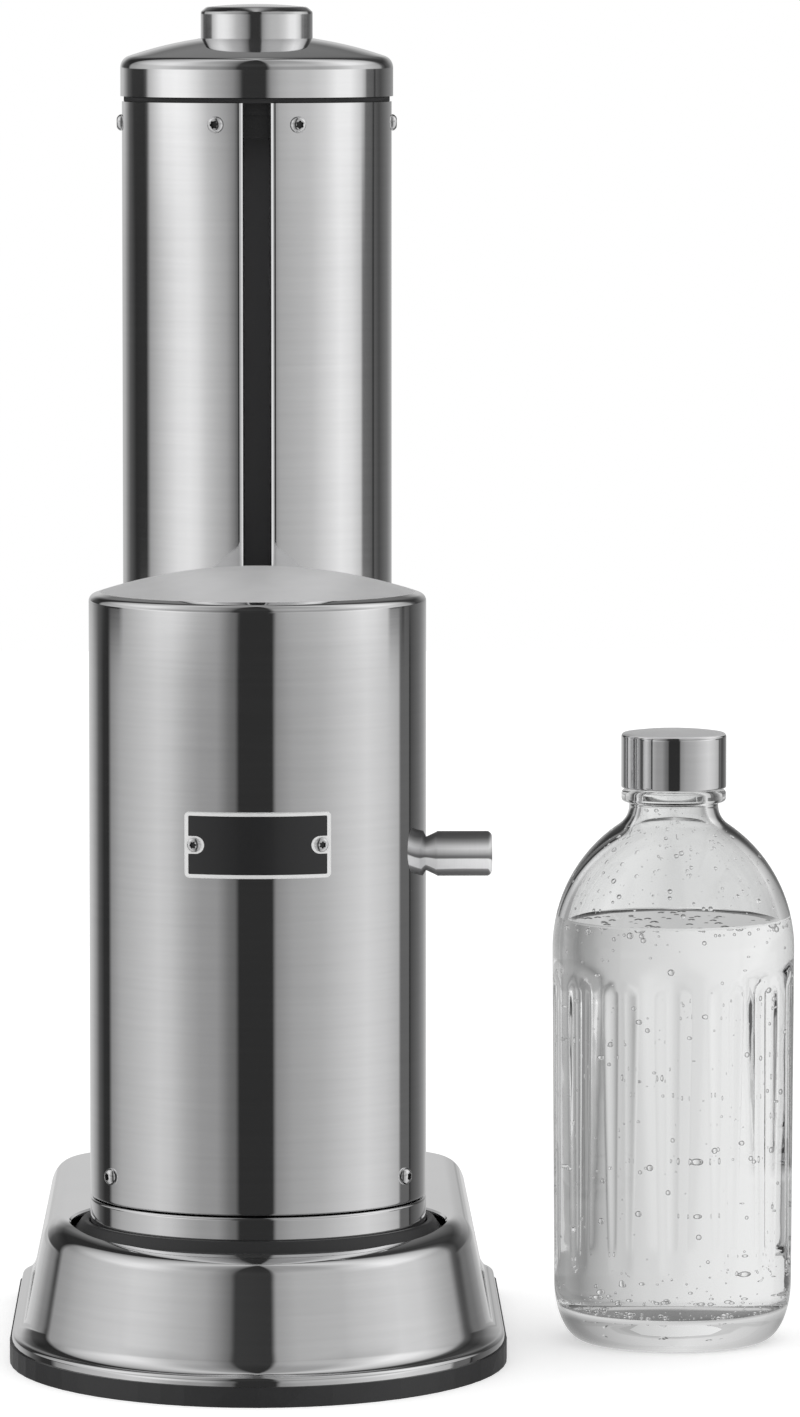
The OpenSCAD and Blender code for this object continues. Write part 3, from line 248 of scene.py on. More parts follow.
# Floor: a pale sheet that keeps the shadow under the machine. Polished steel looks past it,
# into the studio, because the real soft boxes stood on the table's far edge.
floor_half = 3.0
corners = ((-1, -1), (1, -1), (1, 1), (-1, 1))
floor_mesh = bpy.data.meshes.new("floor")
floor_mesh.from_pydata([(x * floor_half, y * floor_half, 0) for x, y in corners], [], [(0, 1, 2, 3)])
floor = bpy.data.objects.new("floor", floor_mesh)
scene.collection.objects.link(floor)
floor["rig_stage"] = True
floor_paint = bpy.data.materials.new("floor_paint")
floor_paint.use_nodes = True
tree = floor_paint.node_tree
tree.nodes.clear()
rays = node(tree, "ShaderNodeLightPath").outputs
paper_albedo, paper_glow, glow_through_glass = 0.9, 0.42, 0.96
paper = node(tree, "ShaderNodeBsdfDiffuse", [("Color", (*[paper_albedo] * 3, 1))])
glow = node(tree, "ShaderNodeEmission", [("Color", white), ("Strength", paper_glow)])
lifted = node(tree, "ShaderNodeAddShader", [(0, paper.outputs[0]), (1, glow.outputs[0])])
bright = node(tree, "ShaderNodeEmission", [("Color", white), ("Strength", glow_through_glass)])
clear = node(tree, "ShaderNodeBsdfTransparent")
look = either(tree, rays["Is Transmission Ray"], lifted.outputs[0], bright.outputs[0])
look = either(tree, rays["Is Glossy Ray"], look, clear.outputs[0])
node(tree, "ShaderNodeOutputMaterial", [("Surface", look)])
floor_mesh.materials.append(floor_paint)


def finish_material(name, colour, metal, rough, spread, grain, stretch, bump, coat=0.0):
    """A finish whose roughness and relief follow a stretched grain on Object coordinates."""
    made = bpy.data.materials.new(name)
    made.use_nodes = True
    tree = made.node_tree
    skin = tree.nodes["Principled BSDF"]
    place = node(tree, "ShaderNodeTexCoord").outputs["Object"]
    turned = node(tree, "ShaderNodeMapping", [("Vector", place), ("Scale", stretch)]).outputs[0]
    noise = node(
        tree, "ShaderNodeTexNoise", [("Vector", turned), ("Scale", grain), ("Detail", 3.0)]
    ).outputs["Fac"]
    fine, tone = (
        node(tree, "ShaderNodeMapRange", [("Value", noise), ("To Min", least), ("To Max", most)])
        for least, most in ((rough - spread, rough + spread), (0.94, 1.04))
    )
    shade = mixed(tree, 1.0, (*colour, 1), tone.outputs[0], "MULTIPLY")
    relief = node(
        tree, "ShaderNodeBump", [("Height", noise), ("Strength", bump), ("Distance", 0.0002)]
    )
    tree.links.new(shade, skin.inputs["Base Color"])
    tree.links.new(fine.outputs[0], skin.inputs["Roughness"])
    tree.links.new(relief.outputs[0], skin.inputs["Normal"])
    skin.inputs["Metallic"].default_value = metal
    skin.inputs["Coat Weight"].default_value = coat
    return made


# Polished steel sheet: bright drawn stainless, with faint polishing lines round the machine.
# The tops that a fine brush went over are satin.
polished = finish_material(
    "polished_steel", (0.83, 0.83, 0.835), 1.0, 0.05, 0.012, 60, (0.4, 0.4, 9), 0.003
)
satin = finish_material(
    "satin_dome", (0.86, 0.86, 0.865), 0.45, 0.42, 0.03, 120, (1, 1, 4), 0.02
)


def arc(cx, cz, r, start, end, steps):
    """Points along an arc, from one angle to another, in degrees."""
    turns = [math.radians(start + (end - start) * i / steps) for i in range(steps + 1)]
    return [(cx + r * math.cos(t), cz + r * math.sin(t)) for t in turns]


def clean_mesh(name, points, faces):
    """A mesh without double points, its faces turned outwards."""
    mesh = bpy.data.meshes.new(name)
    mesh.from_pydata(points, [], faces)
    shape = bmesh.new()
    shape.from_mesh(mesh)
    bmesh.ops.remove_doubles(shape, verts=shape.verts, dist=1e-6)
    bmesh.ops.recalc_face_normals(shape, faces=shape.faces)
    shape.to_mesh(mesh)
    shape.free()
    return mesh


def piece(name, points, faces, material, body, nodes, crease=32):
    """A finished piece from points and faces."""
    return dress(name, clean_mesh(name, points, faces), material, body, nodes, crease)


def dress(name, mesh, material, body, nodes, crease=32):
    """Links a mesh as a piece that rides on a body and stands for CAD nodes. It is smooth but
    for edges sharper than the crease."""
    mesh.materials.clear()
    mesh.materials.append(material)
    mesh.shade_smooth()
    mesh.set_sharp_from_angle(angle=math.radians(crease))
    made = bpy.data.objects.new(name, mesh)
    scene.collection.objects.link(made)
    if body:
        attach(made, body)
    if nodes:
        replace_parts(made, *nodes)
    return made


def band(a, b, count, closed):
    """Faces between two rows of points that start at a and b."""
    ends = count if closed else count - 1
    return [(a + k, b + k, b + (k + 1) % count, a + (k + 1) % count) for k in range(ends)]


def turned_points(outline, steps, centre=(0, 0)):
    """Points and faces of an outline of (radius, height) spun round a standing axis."""
    cx, cy = centre
    points, faces = [], []
    n = len(outline)
    for i in range(steps):
        t = math.tau * i / steps
        points += [(cx + r * math.cos(t), cy + r * math.sin(t), z) for r, z in outline]
        faces += band(i * n, (i + 1) % steps * n, n, False)
    return points, faces


def carve(target, points, faces):
    """Cuts a closed solid out of a piece."""
    cutter = bpy.data.objects.new("cutter", clean_mesh("cutter", points, faces))
    scene.collection.objects.link(cutter)
    cut = target.modifiers.new("cut", "BOOLEAN")
    cut.object = cutter
    cut.operation = "DIFFERENCE"
    cut.solver = "EXACT"
    bpy.context.view_layer.update()
    result = bpy.data.meshes.new_from_object(
        target.evaluated_get(bpy.context.evaluated_depsgraph_get())
    )
    target.modifiers.clear()
    old = target.data
    target.data = result
    bpy.data.meshes.remove(old)
    bpy.data.objects.remove(cutter)
    result.set_sharp_from_angle(angle=math.radians(32))


# Base shell: one drawn sheet of polished steel, with a rolled hem that stands on the foot,
# a hollow cove over it, a leaning skirt and a soft shoulder up to the flat deck.
low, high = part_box("base_shell")
hem_z, deck_z = low.z, high.z
base_half = high.x
widest_y = 0.015
base_front = widest_y - low.y
base_back = high.y
corner_r = 0.038
hem_h, hem_r, cove_r, cove_start = 0.0032, 0.0014, 0.007, 30
side_lean, front_lean, rear_lean = 0.005, 0.0092, 0.0021
shoulder_h, side_shoulder, front_shoulder, rear_shoulder = 0.010, 0.0075, 0.012, 0.007
front_fall, fall_from_y, fall_to_y = 0.0022, 0.0, -0.058
deck_step = 0.003
skirt_tilt = 12
base_sheet = 0.0012
front_steps, corner_steps, skirt_steps, shoulder_steps = 120, 24, 10, 18


def fallen(x, y, z):
    """A point of the shoulder, let down a little towards the front."""
    ahead = min(1, max(0, (fall_from_y - y) / (fall_from_y - fall_to_y)))
    up = min(1, max(0, (z - deck_z + shoulder_h) / shoulder_h))
    return (x, y, z - front_fall * ahead * ahead * (3 - 2 * ahead) * up * up)


def base_outline(side, front, rear, z, fall=True):
    """One line round the base: half an ellipse in front and two rear corners."""
    a, b, back = base_half - side, base_front - front, base_back - rear
    cx, cy = corner_r - side, corner_r - rear
    line = []
    for i in range(front_steps + 1):
        t = math.pi + math.pi * i / front_steps
        line.append((a * math.cos(t), widest_y + b * math.sin(t), z))
    for start, hand in ((0, 1), (90, -1)):
        for i in range(corner_steps + 1):
            t = math.radians(start + 90 * i / corner_steps)
            line.append((hand * (a - cx) + cx * math.cos(t), back - cy + cy * math.sin(t), z))
    return [fallen(*p) for p in line] if fall else line


def base_rings():
    """Rings from the hem to the deck: height, insets and the tilt of the face."""
    rows = [(hem_z, 0, 0, 0, 0)]
    for a in range(0, 91, 15):
        t = math.radians(a)
        inset = hem_r * (1 - math.cos(t))
        rows.append((hem_z + hem_h - hem_r + hem_r * math.sin(t), inset, inset, inset, a))
    first_in = math.sin(math.radians(cove_start))
    first_up = math.cos(math.radians(cove_start))
    for a in range(cove_start, 91 - skirt_tilt, 4):
        t = math.radians(a)
        inset = hem_r + cove_r * (math.sin(t) - first_in)
        z = hem_z + hem_h + cove_r * (first_up - math.cos(t))
        rows.append((z, inset, inset, inset, 90 - a))
    first = rows[-1]
    shoulder = []
    for i in range(shoulder_steps + 1):
        a = skirt_tilt + (90 - skirt_tilt) * i / shoulder_steps
        t = math.radians(a)
        drawn = 1 - math.cos(t)
        shoulder.append((
            deck_z - shoulder_h + shoulder_h * math.sin(t),
            first[1] + side_lean + side_shoulder * drawn,
            first[2] + front_lean + front_shoulder * drawn,
            first[3] + rear_lean + rear_shoulder * drawn,
            a,
        ))
    for i in range(1, skirt_steps):
        s = i / skirt_steps
        rows.append(tuple(p + (q - p) * s for p, q in zip(first, shoulder[0])))
    return rows + shoulder


rows = base_rings()
deck = rows[-1]
rows.append((deck[0], *(inset + deck_step for inset in deck[1:4]), deck[4]))
points = []
for i, (z, side, front, rear, tilt) in enumerate(rows):
    points += base_outline(side, front, rear, z, i < len(rows) - 1)
for i, (z, side, front, rear, tilt) in enumerate(reversed(rows)):
    t = math.radians(tilt)
    inward, down = base_sheet * math.cos(t), base_sheet * math.sin(t)
    points += base_outline(side + inward, front + inward, rear + inward, z - down, i > 0)
count = front_steps + 1 + 2 * (corner_steps + 1)
last = len(rows)
faces = []
for i in [*range(last - 1), *range(last, 2 * last)]:
    faces += band(i * count, (i + 1) % (2 * last) * count, count, True)
for i in (last - 1, last):
    faces.append(tuple(i * count + k for k in range(count)))
base = piece(
    "base_drawn_shell", points, faces, polished, "housing", ["base_shell"]
)
column_low, column_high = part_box("column_tube")
column_r = (column_high.x - column_low.x) / 2
column_y = column_high.y - column_r
column_at = (0, column_y)
deck_gap, rim_r, cut_under, cut_over, round_steps = 0.0002, 0.0006, 0.012, 0.004, 192
for centre, r in (((0, 0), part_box("drip_ring")[1].x + deck_gap), (column_at, column_r + deck_gap)):
    outline = [
        (0, deck_z - cut_under), (r, deck_z - cut_under), (r, deck_z - rim_r),
        (r + rim_r, deck_z + 1e-5), (r + rim_r, deck_z + cut_over), (0, deck_z + cut_over),
    ]
    carve(base, *turned_points(outline, round_steps, centre))

# Finishes that the other pieces share: colour, metal, roughness and its spread, grain and its
# stretch, relief and, on the enamel, a coat
finishes = {
    "screw_steel": ((0.84, 0.84, 0.845), 1.0, 0.15, 0.04, 400, (1, 1, 1), 0.04),
    "black_plastic": ((0.022, 0.022, 0.023), 0.0, 0.42, 0.07, 900, (1, 1, 1), 0.25),
    # Painted light: a lighter copy of the black plastic for the guide rail, standing in for light
    # that hardly reaches inside the column
    "lit_rail_plastic": ((0.13, 0.13, 0.135), 0.0, 0.42, 0.07, 900, (1, 1, 1), 0.10),
    "black_rubber": ((0.020, 0.020, 0.021), 0.0, 0.66, 0.08, 1300, (1, 1, 1), 0.35),
    "black_enamel": ((0.016, 0.016, 0.017), 0.0, 0.33, 0.05, 700, (1, 1, 1), 0.08, 0.25),
    "white_plastic": ((0.78, 0.77, 0.74), 0.0, 0.38, 0.06, 500, (1, 1, 1), 0.10),
    "hose_plastic": ((0.045, 0.10, 0.30), 0.0, 0.35, 0.06, 600, (1, 1, 1), 0.10),
    "brushed_steel": ((0.78, 0.78, 0.785), 1.0, 0.22, 0.06, 120, (12, 0.6, 12), 0.10),
    "brass": ((0.72, 0.53, 0.24), 1.0, 0.27, 0.06, 300, (1, 1, 6), 0.06),
    "aluminium": ((0.80, 0.81, 0.82), 1.0, 0.36, 0.07, 250, (1, 1, 8), 0.08),
}
by_slot = {name: finish_material(name, *values) for name, values in finishes.items()}
by_slot["polished_steel"] = polished
screw_steel, black_plastic, lit_rail_plastic, black_rubber, black_enamel = [
    by_slot[name] for name in list(finishes)[:5]
]


def held(outline, near=0.0004):
    """The outline with points close to both ends of its long stretches, so that the soft
    shading of the corners stays near them."""
    line = []
    for (r0, z0), (r1, z1) in zip(outline, outline[1:]):
        line.append((r0, z0))
        length = math.hypot(r1 - r0, z1 - z0)
        if length > 5 * near:
            for share in (near / length, 1 - near / length):
                line.append((r0 + (r1 - r0) * share, z0 + (z1 - z0) * share))
    return line + outline[-1:]


def lathe(name, outline, material, body, nodes, centre=(0, 0), steps=round_steps):
    """A piece spun round a standing axis from a closed outline of (radius, height)."""
    points, faces = turned_points(held(outline + outline[:1]), steps, centre)
    return piece(name, points, faces, material, body, nodes)


def can_line(r, z0, top, ball, edge, steps):
    """Side, rounded edge and domed top of a can, from its rim up to the middle."""
    middle = top - ball
    rise = math.sqrt((ball - edge) ** 2 - (r - edge) ** 2)
    tip = math.degrees(math.atan2(rise, r - edge))
    line = [(r, z0)]
    line += arc(r - edge, middle + rise, edge, 0, tip, 8)
    line += arc(0, middle, ball, tip, 90, steps)[1:]
    return line[:-1] + [(0, top)]


def can_walls(r, z0, top, ball, edge, wall, steps):
    """The outer and the inner line of a can's wall."""
    outer = can_line(r, z0, top, ball, edge, steps)
    return outer, can_line(r - wall, z0, top - wall, ball - wall, edge - wall, steps)


def curled_can(r, low_z, top, ball, edge, wall, steps, lip_steps):
    """A can's closed outline, its lower rim curled."""
    lip = wall / 2
    outer, inner = can_walls(r, low_z + lip, top, ball, edge, wall, steps)
    return outer + inner[::-1] + arc(r - lip, low_z + lip, lip, 180, 360, lip_steps)[1:-1]


def brush_above(made, z):
    """Gives the satin finish to the faces over a height that look up."""
    made.data.materials.append(satin)
    for face in made.data.polygons:
        if face.center.z > z and face.normal.z > 0.5:
            face.material_index = 1


# Drip ring: black moulded plastic that fills the deck's round hole and carries the cup.
# Its top edge is eased, and the column stands in its rear.
low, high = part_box("drip_ring")
drip_ro = high.x
drip_ri, drip_lip_z, drip_rim_z = 0.0543, 0.0482, 0.0444
ease = 0.0009
outline = [(drip_ri, low.z), (drip_ro, low.z)]
outline += arc(drip_ro - ease, drip_rim_z - ease, ease, 0, 80, 5)
outline += arc(drip_ri + 2 * ease, drip_lip_z - ease, ease, 60, 90, 3)
outline += arc(drip_ri + ease, drip_lip_z - ease, ease, 90, 180, 5)
drip = lathe(
    "drip_ring_moulding", outline, black_plastic, "housing", ["drip_ring"]
)
past = 0.01
outline = [
    (0, low.z - past), (column_r + deck_gap, low.z - past),
    (column_r + deck_gap, high.z + past), (0, high.z + past),
]
carve(drip, *turned_points(outline, round_steps, column_at))

# Bottle cup: a deep drawn steel cup that the chamber closes onto, with a rolled upper lip
low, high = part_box("bottle_cup")
cup_r, cup_wall, cup_floor, cup_bend = high.x, 0.0015, 0.002, 0.002
lip = cup_wall / 2
outline = [(0.0, low.z), (cup_r - cup_bend, low.z)]
outline += arc(cup_r - cup_bend, low.z + cup_bend, cup_bend, -90, 0, 5)
outline += arc(cup_r - lip, high.z - lip, lip, 0, 180, 8)
outline += arc(cup_r - cup_wall - cup_bend, low.z + cup_floor + cup_bend, cup_bend, 0, -90, 5)
outline += [(0.0, low.z + cup_floor)]
lathe("drawn_cup", outline, polished, "housing", ["bottle_cup"])

# Column: a steel tube with a slot down its front, whose two edges are rolled inwards
low, high = column_low, column_high
tube_wall, slot_half, fold_r, fold_l = 0.0015, 0.00415, 0.0018, 0.0033
wall_steps, fold_steps, edge_steps = 240, 14, 6
fold_x = slot_half + fold_r
fold_y = -math.sqrt((column_r - fold_r) ** 2 - fold_x ** 2)
touch = math.degrees(math.atan2(fold_y, fold_x))
tip_r, fold_in = tube_wall / 2, fold_r - tube_wall
tip_x, tip_y = slot_half + tip_r, fold_y + fold_l - tip_r
section = arc(0, 0, column_r, touch, 180 - touch, wall_steps)
section += arc(-fold_x, fold_y, fold_r, -180 - touch, 0, fold_steps)
section += arc(-tip_x, tip_y, tip_r, 0, 180, edge_steps)
section += arc(-fold_x, fold_y, fold_in, 0, -180 - touch, edge_steps)
section += arc(0, 0, column_r - tube_wall, 180 - touch, touch, wall_steps)[1:]
section += arc(fold_x, fold_y, fold_in, touch, -180, edge_steps)[1:]
section += arc(tip_x, tip_y, tip_r, 0, 180, edge_steps)
section += arc(fold_x, fold_y, fold_r, 180, 360 + touch, fold_steps)[:-1]
count = len(section)
points = [(x, column_y + y, z) for z in (low.z, high.z) for x, y in section]
faces = band(0, count, count, True)
faces += [tuple(range(count)), tuple(range(count, 2 * count))]
piece("slotted_column", points, faces, polished, "housing", ["column_tube"])

# Cap gasket: a black rubber ring that shows as a thin dark line under the cap
low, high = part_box("cap_gasket")
gasket_r, gasket_w, ease = (high.x - low.x) / 2, 0.0039, 0.0003
outline = [(gasket_r - gasket_w, low.z), (gasket_r - ease, low.z)]
outline += arc(gasket_r - ease, low.z + ease, ease, -90, 0, 3)[1:]
outline += arc(gasket_r - ease, high.z - ease, ease, 0, 90, 3) + [(gasket_r - gasket_w, high.z)]
lathe(
    "cap_gasket_ring", outline, black_rubber, "housing", ["cap_gasket"],
    column_at,
)

# Top cap: a spun steel cap with a slightly domed top and the button's hole in its middle
low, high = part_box("top_cap")
cap_r, cap_ball, cap_edge, cap_wall = (high.x - low.x) / 2, 0.130, 0.004, 0.0015
cap_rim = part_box("cap_gasket")[1].z + 0.00005
button_hole, hole_turn = 0.01875, 0.0005
outer, inner = can_walls(cap_r, cap_rim, high.z, cap_ball, cap_edge, cap_wall, 24)
outline = [p for p in outer if p[0] > button_hole + hole_turn * 1.2]
lip_z = high.z - cap_ball + math.sqrt(cap_ball ** 2 - button_hole ** 2)
outline += arc(button_hole + hole_turn, lip_z - hole_turn, hole_turn, 90, 180, 4)
outline += [(button_hole, lip_z - cap_wall)]
outline += [p for p in inner if p[0] > button_hole + hole_turn][::-1]
lathe("spun_cap", outline, polished, "housing", ["top_cap"], column_at)

# Button: a solid turned steel button with a bevelled edge and a hardly crowned top
low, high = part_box("button")
button_r, bevel_h, bevel_w, crown = 0.01845, 0.0016, 0.00185, 0.001
flange_r = (high.x - low.x) / 2
spigot_r, spigot_h, flange_t, soft = 0.0082, 0.0015, 0.0024, 0.00035
top_r = button_r - bevel_w
ball = (top_r ** 2 + crown ** 2) / (2 * crown)
flange_z, bevel_z, top_z = low.z + spigot_h, high.z - crown - bevel_h, high.z - crown
outline = [
    (0, low.z), (spigot_r, low.z), (spigot_r, flange_z), (flange_r, flange_z),
    (flange_r, flange_z + flange_t), (button_r, flange_z + flange_t), (button_r, bevel_z - soft),
    (button_r - soft * 0.3, bevel_z + soft * 0.4), (top_r + soft, top_z - soft * 0.7),
    (top_r - soft, top_z + soft * 0.25),
]
crown_from = math.degrees(math.acos(top_r * 0.95 / ball))
outline += arc(0, high.z - ball, ball, crown_from, 90, 20)[:-1]
outline += [(0, high.z)]
button_steel = finish_material(
    "button_steel", (0.85, 0.85, 0.855), 1.0, 0.09, 0.02, 90, (1, 1, 4), 0.015
)
lathe("turned_button", outline, button_steel, "button", ["button"], column_at)

# Chamber: a deep drawn steel bell with a domed top and a curled lower edge. The window in its
# rear lets the lift arm reach in, and stays clear of it while the bell turns to unlock.
low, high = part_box("chamber_shell")
bell_r, bell_wall, bell_ball, bell_edge, bell_steps = 0.054, 0.0015, 0.166, 0.0025, 256
outline = curled_can(bell_r, low.z, high.z, bell_ball, bell_edge, bell_wall, 28, 8)
chamber = lathe(
    "chamber_bell", outline, polished, "chamber", ["chamber_shell"],
    steps=bell_steps,
)
window_low, window_high, window_start, window_end = 0.1986, 0.2234, 84, 121
window_in, window_out, window_steps = 0.045, 0.060, 16
frame_at = (
    (window_in, window_low), (window_out, window_low), (window_out, window_high),
    (window_in, window_high),
)
points, faces = [], []
for i in range(window_steps + 1):
    t = math.radians(window_start + (window_end - window_start) * i / window_steps)
    points += [(r * math.cos(t), r * math.sin(t), z) for r, z in frame_at]
for i in range(window_steps):
    faces += band(4 * i, 4 * i + 4, 4, True)
faces += [tuple(range(4)), tuple(range(len(points) - 1, len(points) - 5, -1))]
carve(chamber, points, faces)
dome_z = high.z - bell_ball + math.sqrt(bell_ball ** 2 - (bell_r - bell_edge) ** 2)
brush_above(chamber, dome_z + 0.0004)

# Handle: a knob turned from steel bar, with a cone down to its neck and fine turning lines
low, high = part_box("handle_knob")
knob_r, neck_r, cone_l, bevel = (high.z - low.z) / 2, 0.00545, 0.0033, 0.001
knob_z, knob_end = (low.z + high.z) / 2, high.x
ease = 0.00035
outline = [
    (0, low.x - 0.0005), (neck_r, low.x - 0.0005), (neck_r, bell_r + 0.0001),
    (knob_r - ease, bell_r + cone_l - ease * 0.6), (knob_r, bell_r + cone_l + ease),
    (knob_r, knob_end - bevel - ease), (knob_r - ease * 0.5, knob_end - bevel + ease * 0.3),
    (knob_r - bevel + ease * 0.3, knob_end - ease * 0.5), (knob_r - bevel - ease, knob_end),
    (0, knob_end),
]
points, faces = turned_points(outline + outline[:1], 128)
points = [(h, x, knob_z + y) for x, y, h in points]
knob = finish_material(
    "turned_steel", (0.92, 0.92, 0.925), 0.15, 0.52, 0.03, 260, (9, 0.5, 0.5), 0.02
)
tree = knob.node_tree
skin = tree.nodes["Principled BSDF"]
round_knob = node(tree, "ShaderNodeTangent", direction_type="RADIAL", axis="X").outputs[0]
tree.links.new(round_knob, skin.inputs["Tangent"])
skin.inputs["Anisotropic"].default_value = 0.96
skin.inputs["Anisotropic Rotation"].default_value = 0.25
# Painted reflection: bands of light and dark, multiplied into the base colour, that follow how far
# each side leans up or down and stand in for the studio mirrored by the grooves
knob_painted_reflection = [
    (-1, 0.10), (-0.75, 0.18), (-0.63, 0.30), (-0.58, 0.95), (-0.16, 1.0), (-0.11, 0.18),
    (-0.03, 0.22), (0.12, 0.58), (0.30, 0.88), (0.42, 0.76), (0.60, 0.34), (0.75, 0.13), (1, 0.08),
]
lean = node(tree, "ShaderNodeTexCoord").outputs["Normal"]
lean = node(tree, "ShaderNodeSeparateXYZ", [("Vector", lean)]).outputs["Z"]
lean = maths(tree, "MULTIPLY_ADD", lean, 0.5, 0.5)
painted_bands = ramp(tree, lean, [((n + 1) / 2, level) for n, level in knob_painted_reflection])
plain = skin.inputs["Base Color"].links[0].from_socket
tree.links.new(mixed(tree, 1.0, plain, painted_bands, "MULTIPLY"), skin.inputs["Base Color"])
piece("turned_knob", points, faces, knob, "chamber", ["handle_knob"], 40)

# Nameplate: a bent steel plate with a raised rim and bare black enamel let into it. The enamel
# stops short of the two screws. Both are made flat, then bent round the chamber.
plate_low, plate_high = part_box("nameplate")
plate_w, plate_h = plate_high.x - plate_low.x, plate_high.z - plate_low.z
plate_z = (plate_low.z + plate_high.z) / 2
plate_t, plate_seat, plate_rim, plate_corner = 0.0011, 0.00005, 0.0012, 0.0015
enamel_t, enamel_sunk, enamel_gap, plate_strips, plate_crease = 0.0005, 0.0001, 0.00004, 92, 25
screw_x, notch_r, corner_in = plate_w / 2 - 0.0034, 0.0028, 0.0004


def plate_block(name, outline, near, far, bevel):
    """A flat outline run out between two depths, its front edge bevelled."""
    shape = bmesh.new()
    verts = [shape.verts.new((x, far, z)) for x, z in outline]
    grown = bmesh.ops.extrude_face_region(shape, geom=[shape.faces.new(verts)])
    moved = [v for v in grown["geom"] if isinstance(v, bmesh.types.BMVert)]
    bmesh.ops.translate(shape, verts=moved, vec=(0, near - far, 0))
    bmesh.ops.recalc_face_normals(shape, faces=shape.faces)
    rim = [e for e in shape.edges if all(abs(v.co.y - far) < 1e-7 for v in e.verts)]
    if bevel:
        bmesh.ops.bevel(shape, geom=rim, offset=bevel, segments=2, affect="EDGES")
    mesh = bpy.data.meshes.new(name)
    shape.to_mesh(mesh)
    shape.free()
    return mesh


def bend_round(target, r):
    """Cuts a flat piece into narrow upright strips and bends it onto a standing round wall."""
    shape = bmesh.new()
    shape.from_mesh(target.data)
    for i in range(1 - plate_strips // 2, plate_strips // 2):
        every = shape.verts[:] + shape.edges[:] + shape.faces[:]
        at = (i * plate_w / plate_strips, 0, 0)
        bmesh.ops.bisect_plane(shape, geom=every, dist=1e-7, plane_co=at, plane_no=(1, 0, 0))
    for v in shape.verts:
        x, depth, z = v.co
        v.co = (x, -math.sqrt((r + depth) ** 2 - x ** 2), plate_z + z)
    bmesh.ops.recalc_face_normals(shape, faces=shape.faces)
    shape.to_mesh(target.data)
    shape.free()
    target.data.set_sharp_from_angle(angle=math.radians(plate_crease))


def rounded(w, h, r):
    """A rectangle with round corners."""
    line = []
    for i, (x, z) in enumerate(((1, 1), (-1, 1), (-1, -1), (1, -1))):
        line += arc(x * (w / 2 - r), z * (h / 2 - r), r, 90 * i, 90 * i + 90, 6)
    return line


def enamel_line(gap):
    """The enamel's outline: a rectangle with a notch round each screw."""
    w, h, notch = plate_w / 2 - plate_rim - gap, plate_h / 2 - plate_rim - gap, notch_r + gap
    line = arc(w - corner_in, h - corner_in, corner_in, 0, 90, 4)
    line += arc(corner_in - w, h - corner_in, corner_in, 90, 180, 4)
    line += [(-w, notch)] + arc(-screw_x, 0, notch, 90, -90, 20) + [(-w, -notch)]
    line += arc(corner_in - w, corner_in - h, corner_in, 180, 270, 4)
    line += arc(w - corner_in, corner_in - h, corner_in, 270, 360, 4)
    return line + [(w, -notch)] + arc(screw_x, 0, notch, 270, 90, 20) + [(w, notch)]


plate_steel = finish_material(
    "plate_steel", (0.90, 0.90, 0.90), 0.35, 0.30, 0.04, 300, (1, 1, 1), 0.02
)
block = plate_block(
    "nameplate_rim", rounded(plate_w, plate_h, plate_corner), plate_seat, plate_t, 0.00025
)
plate = dress(
    "nameplate_plate", block, plate_steel, "chamber", ["nameplate"], plate_crease
)
enamel_back = plate_t - enamel_t - enamel_sunk
pocket = plate_block("pocket", enamel_line(0), enamel_back, plate_t + 0.002, 0)
carve(plate, [v.co[:] for v in pocket.vertices], [face.vertices[:] for face in pocket.polygons])
bpy.data.meshes.remove(pocket)
bend_round(plate, bell_r)
block = plate_block(
    "nameplate_enamel", enamel_line(enamel_gap), enamel_back, plate_t - enamel_sunk, 0.00008
)
enamel = dress(
    "nameplate_enamel", block, black_enamel, "chamber", ["nameplate_inlay"],
    plate_crease,
)
bend_round(enamel, bell_r)

# Screws: button heads in bright steel, each with a six lobed socket
lobes, lobe_steps = 6, 72


def screws(name, places, head_r, head_h, socket_r, depth, body, cad_name):
    """Button heads at (origin, outward way, turn) as one piece, their socket walls painted black as
    painted shade.
    """
    outer = [
        (1.0, 0.0), (1.0, 0.16), (0.985, 0.28), (0.93, 0.48), (0.83, 0.68), (0.70, 0.85),
        (0.60, 0.94),
    ]
    socket = [(0.0, 0.985), (-0.03, 0.93), (-0.05, 0.90 - depth)]
    rows = outer + socket
    floor_rise = 0.80 - depth
    points, faces = [], []
    for origin, way, spin in places:
        origin, out = Vector(origin), Vector(way).normalized()
        side = out.orthogonal().normalized()
        up = out.cross(side)
        first = len(points)
        for i, (share, rise) in enumerate(rows):
            for k in range(lobe_steps):
                t = math.tau * k / lobe_steps
                lobe = socket_r * (1 + 0.13 * math.cos(lobes * t)) if i >= len(outer) else 0
                across = side * math.cos(t + spin) + up * math.sin(t + spin)
                points.append(origin + out * (rise * head_h) + across * (lobe + share * head_r))
        for i in range(len(rows) - 1):
            a = first + i * lobe_steps
            faces += band(a, a + lobe_steps, lobe_steps, True)
        for a, middle in ((first + (len(rows) - 1) * lobe_steps, floor_rise), (first, 0)):
            points.append(origin + out * (middle * head_h))
            faces += [(a + k, a + (k + 1) % lobe_steps, len(points) - 1) for k in range(lobe_steps)]
    made = piece(name, points, faces, screw_steel, body, [cad_name], 50)
    # Painted shade: the socket walls take the black enamel finish, standing in for the shade inside
    # each recess
    made.data.materials.append(black_enamel)
    per_screw = len(faces) // len(places)
    socket_from, socket_to = (len(outer) + 1) * lobe_steps, len(rows) * lobe_steps
    for face in made.data.polygons:
        if socket_from <= face.index % per_screw < socket_to:
            face.material_index = 1


def round_places(centre, r, z, angles):
    """Screw places round a standing wall."""
    out = []
    for i, a in enumerate(angles):
        way = (math.cos(math.radians(a)), math.sin(math.radians(a)), 0)
        out.append(((centre[0] + r * way[0], centre[1] + r * way[1], z), way, 0.4 + 0.37 * i))
    return out


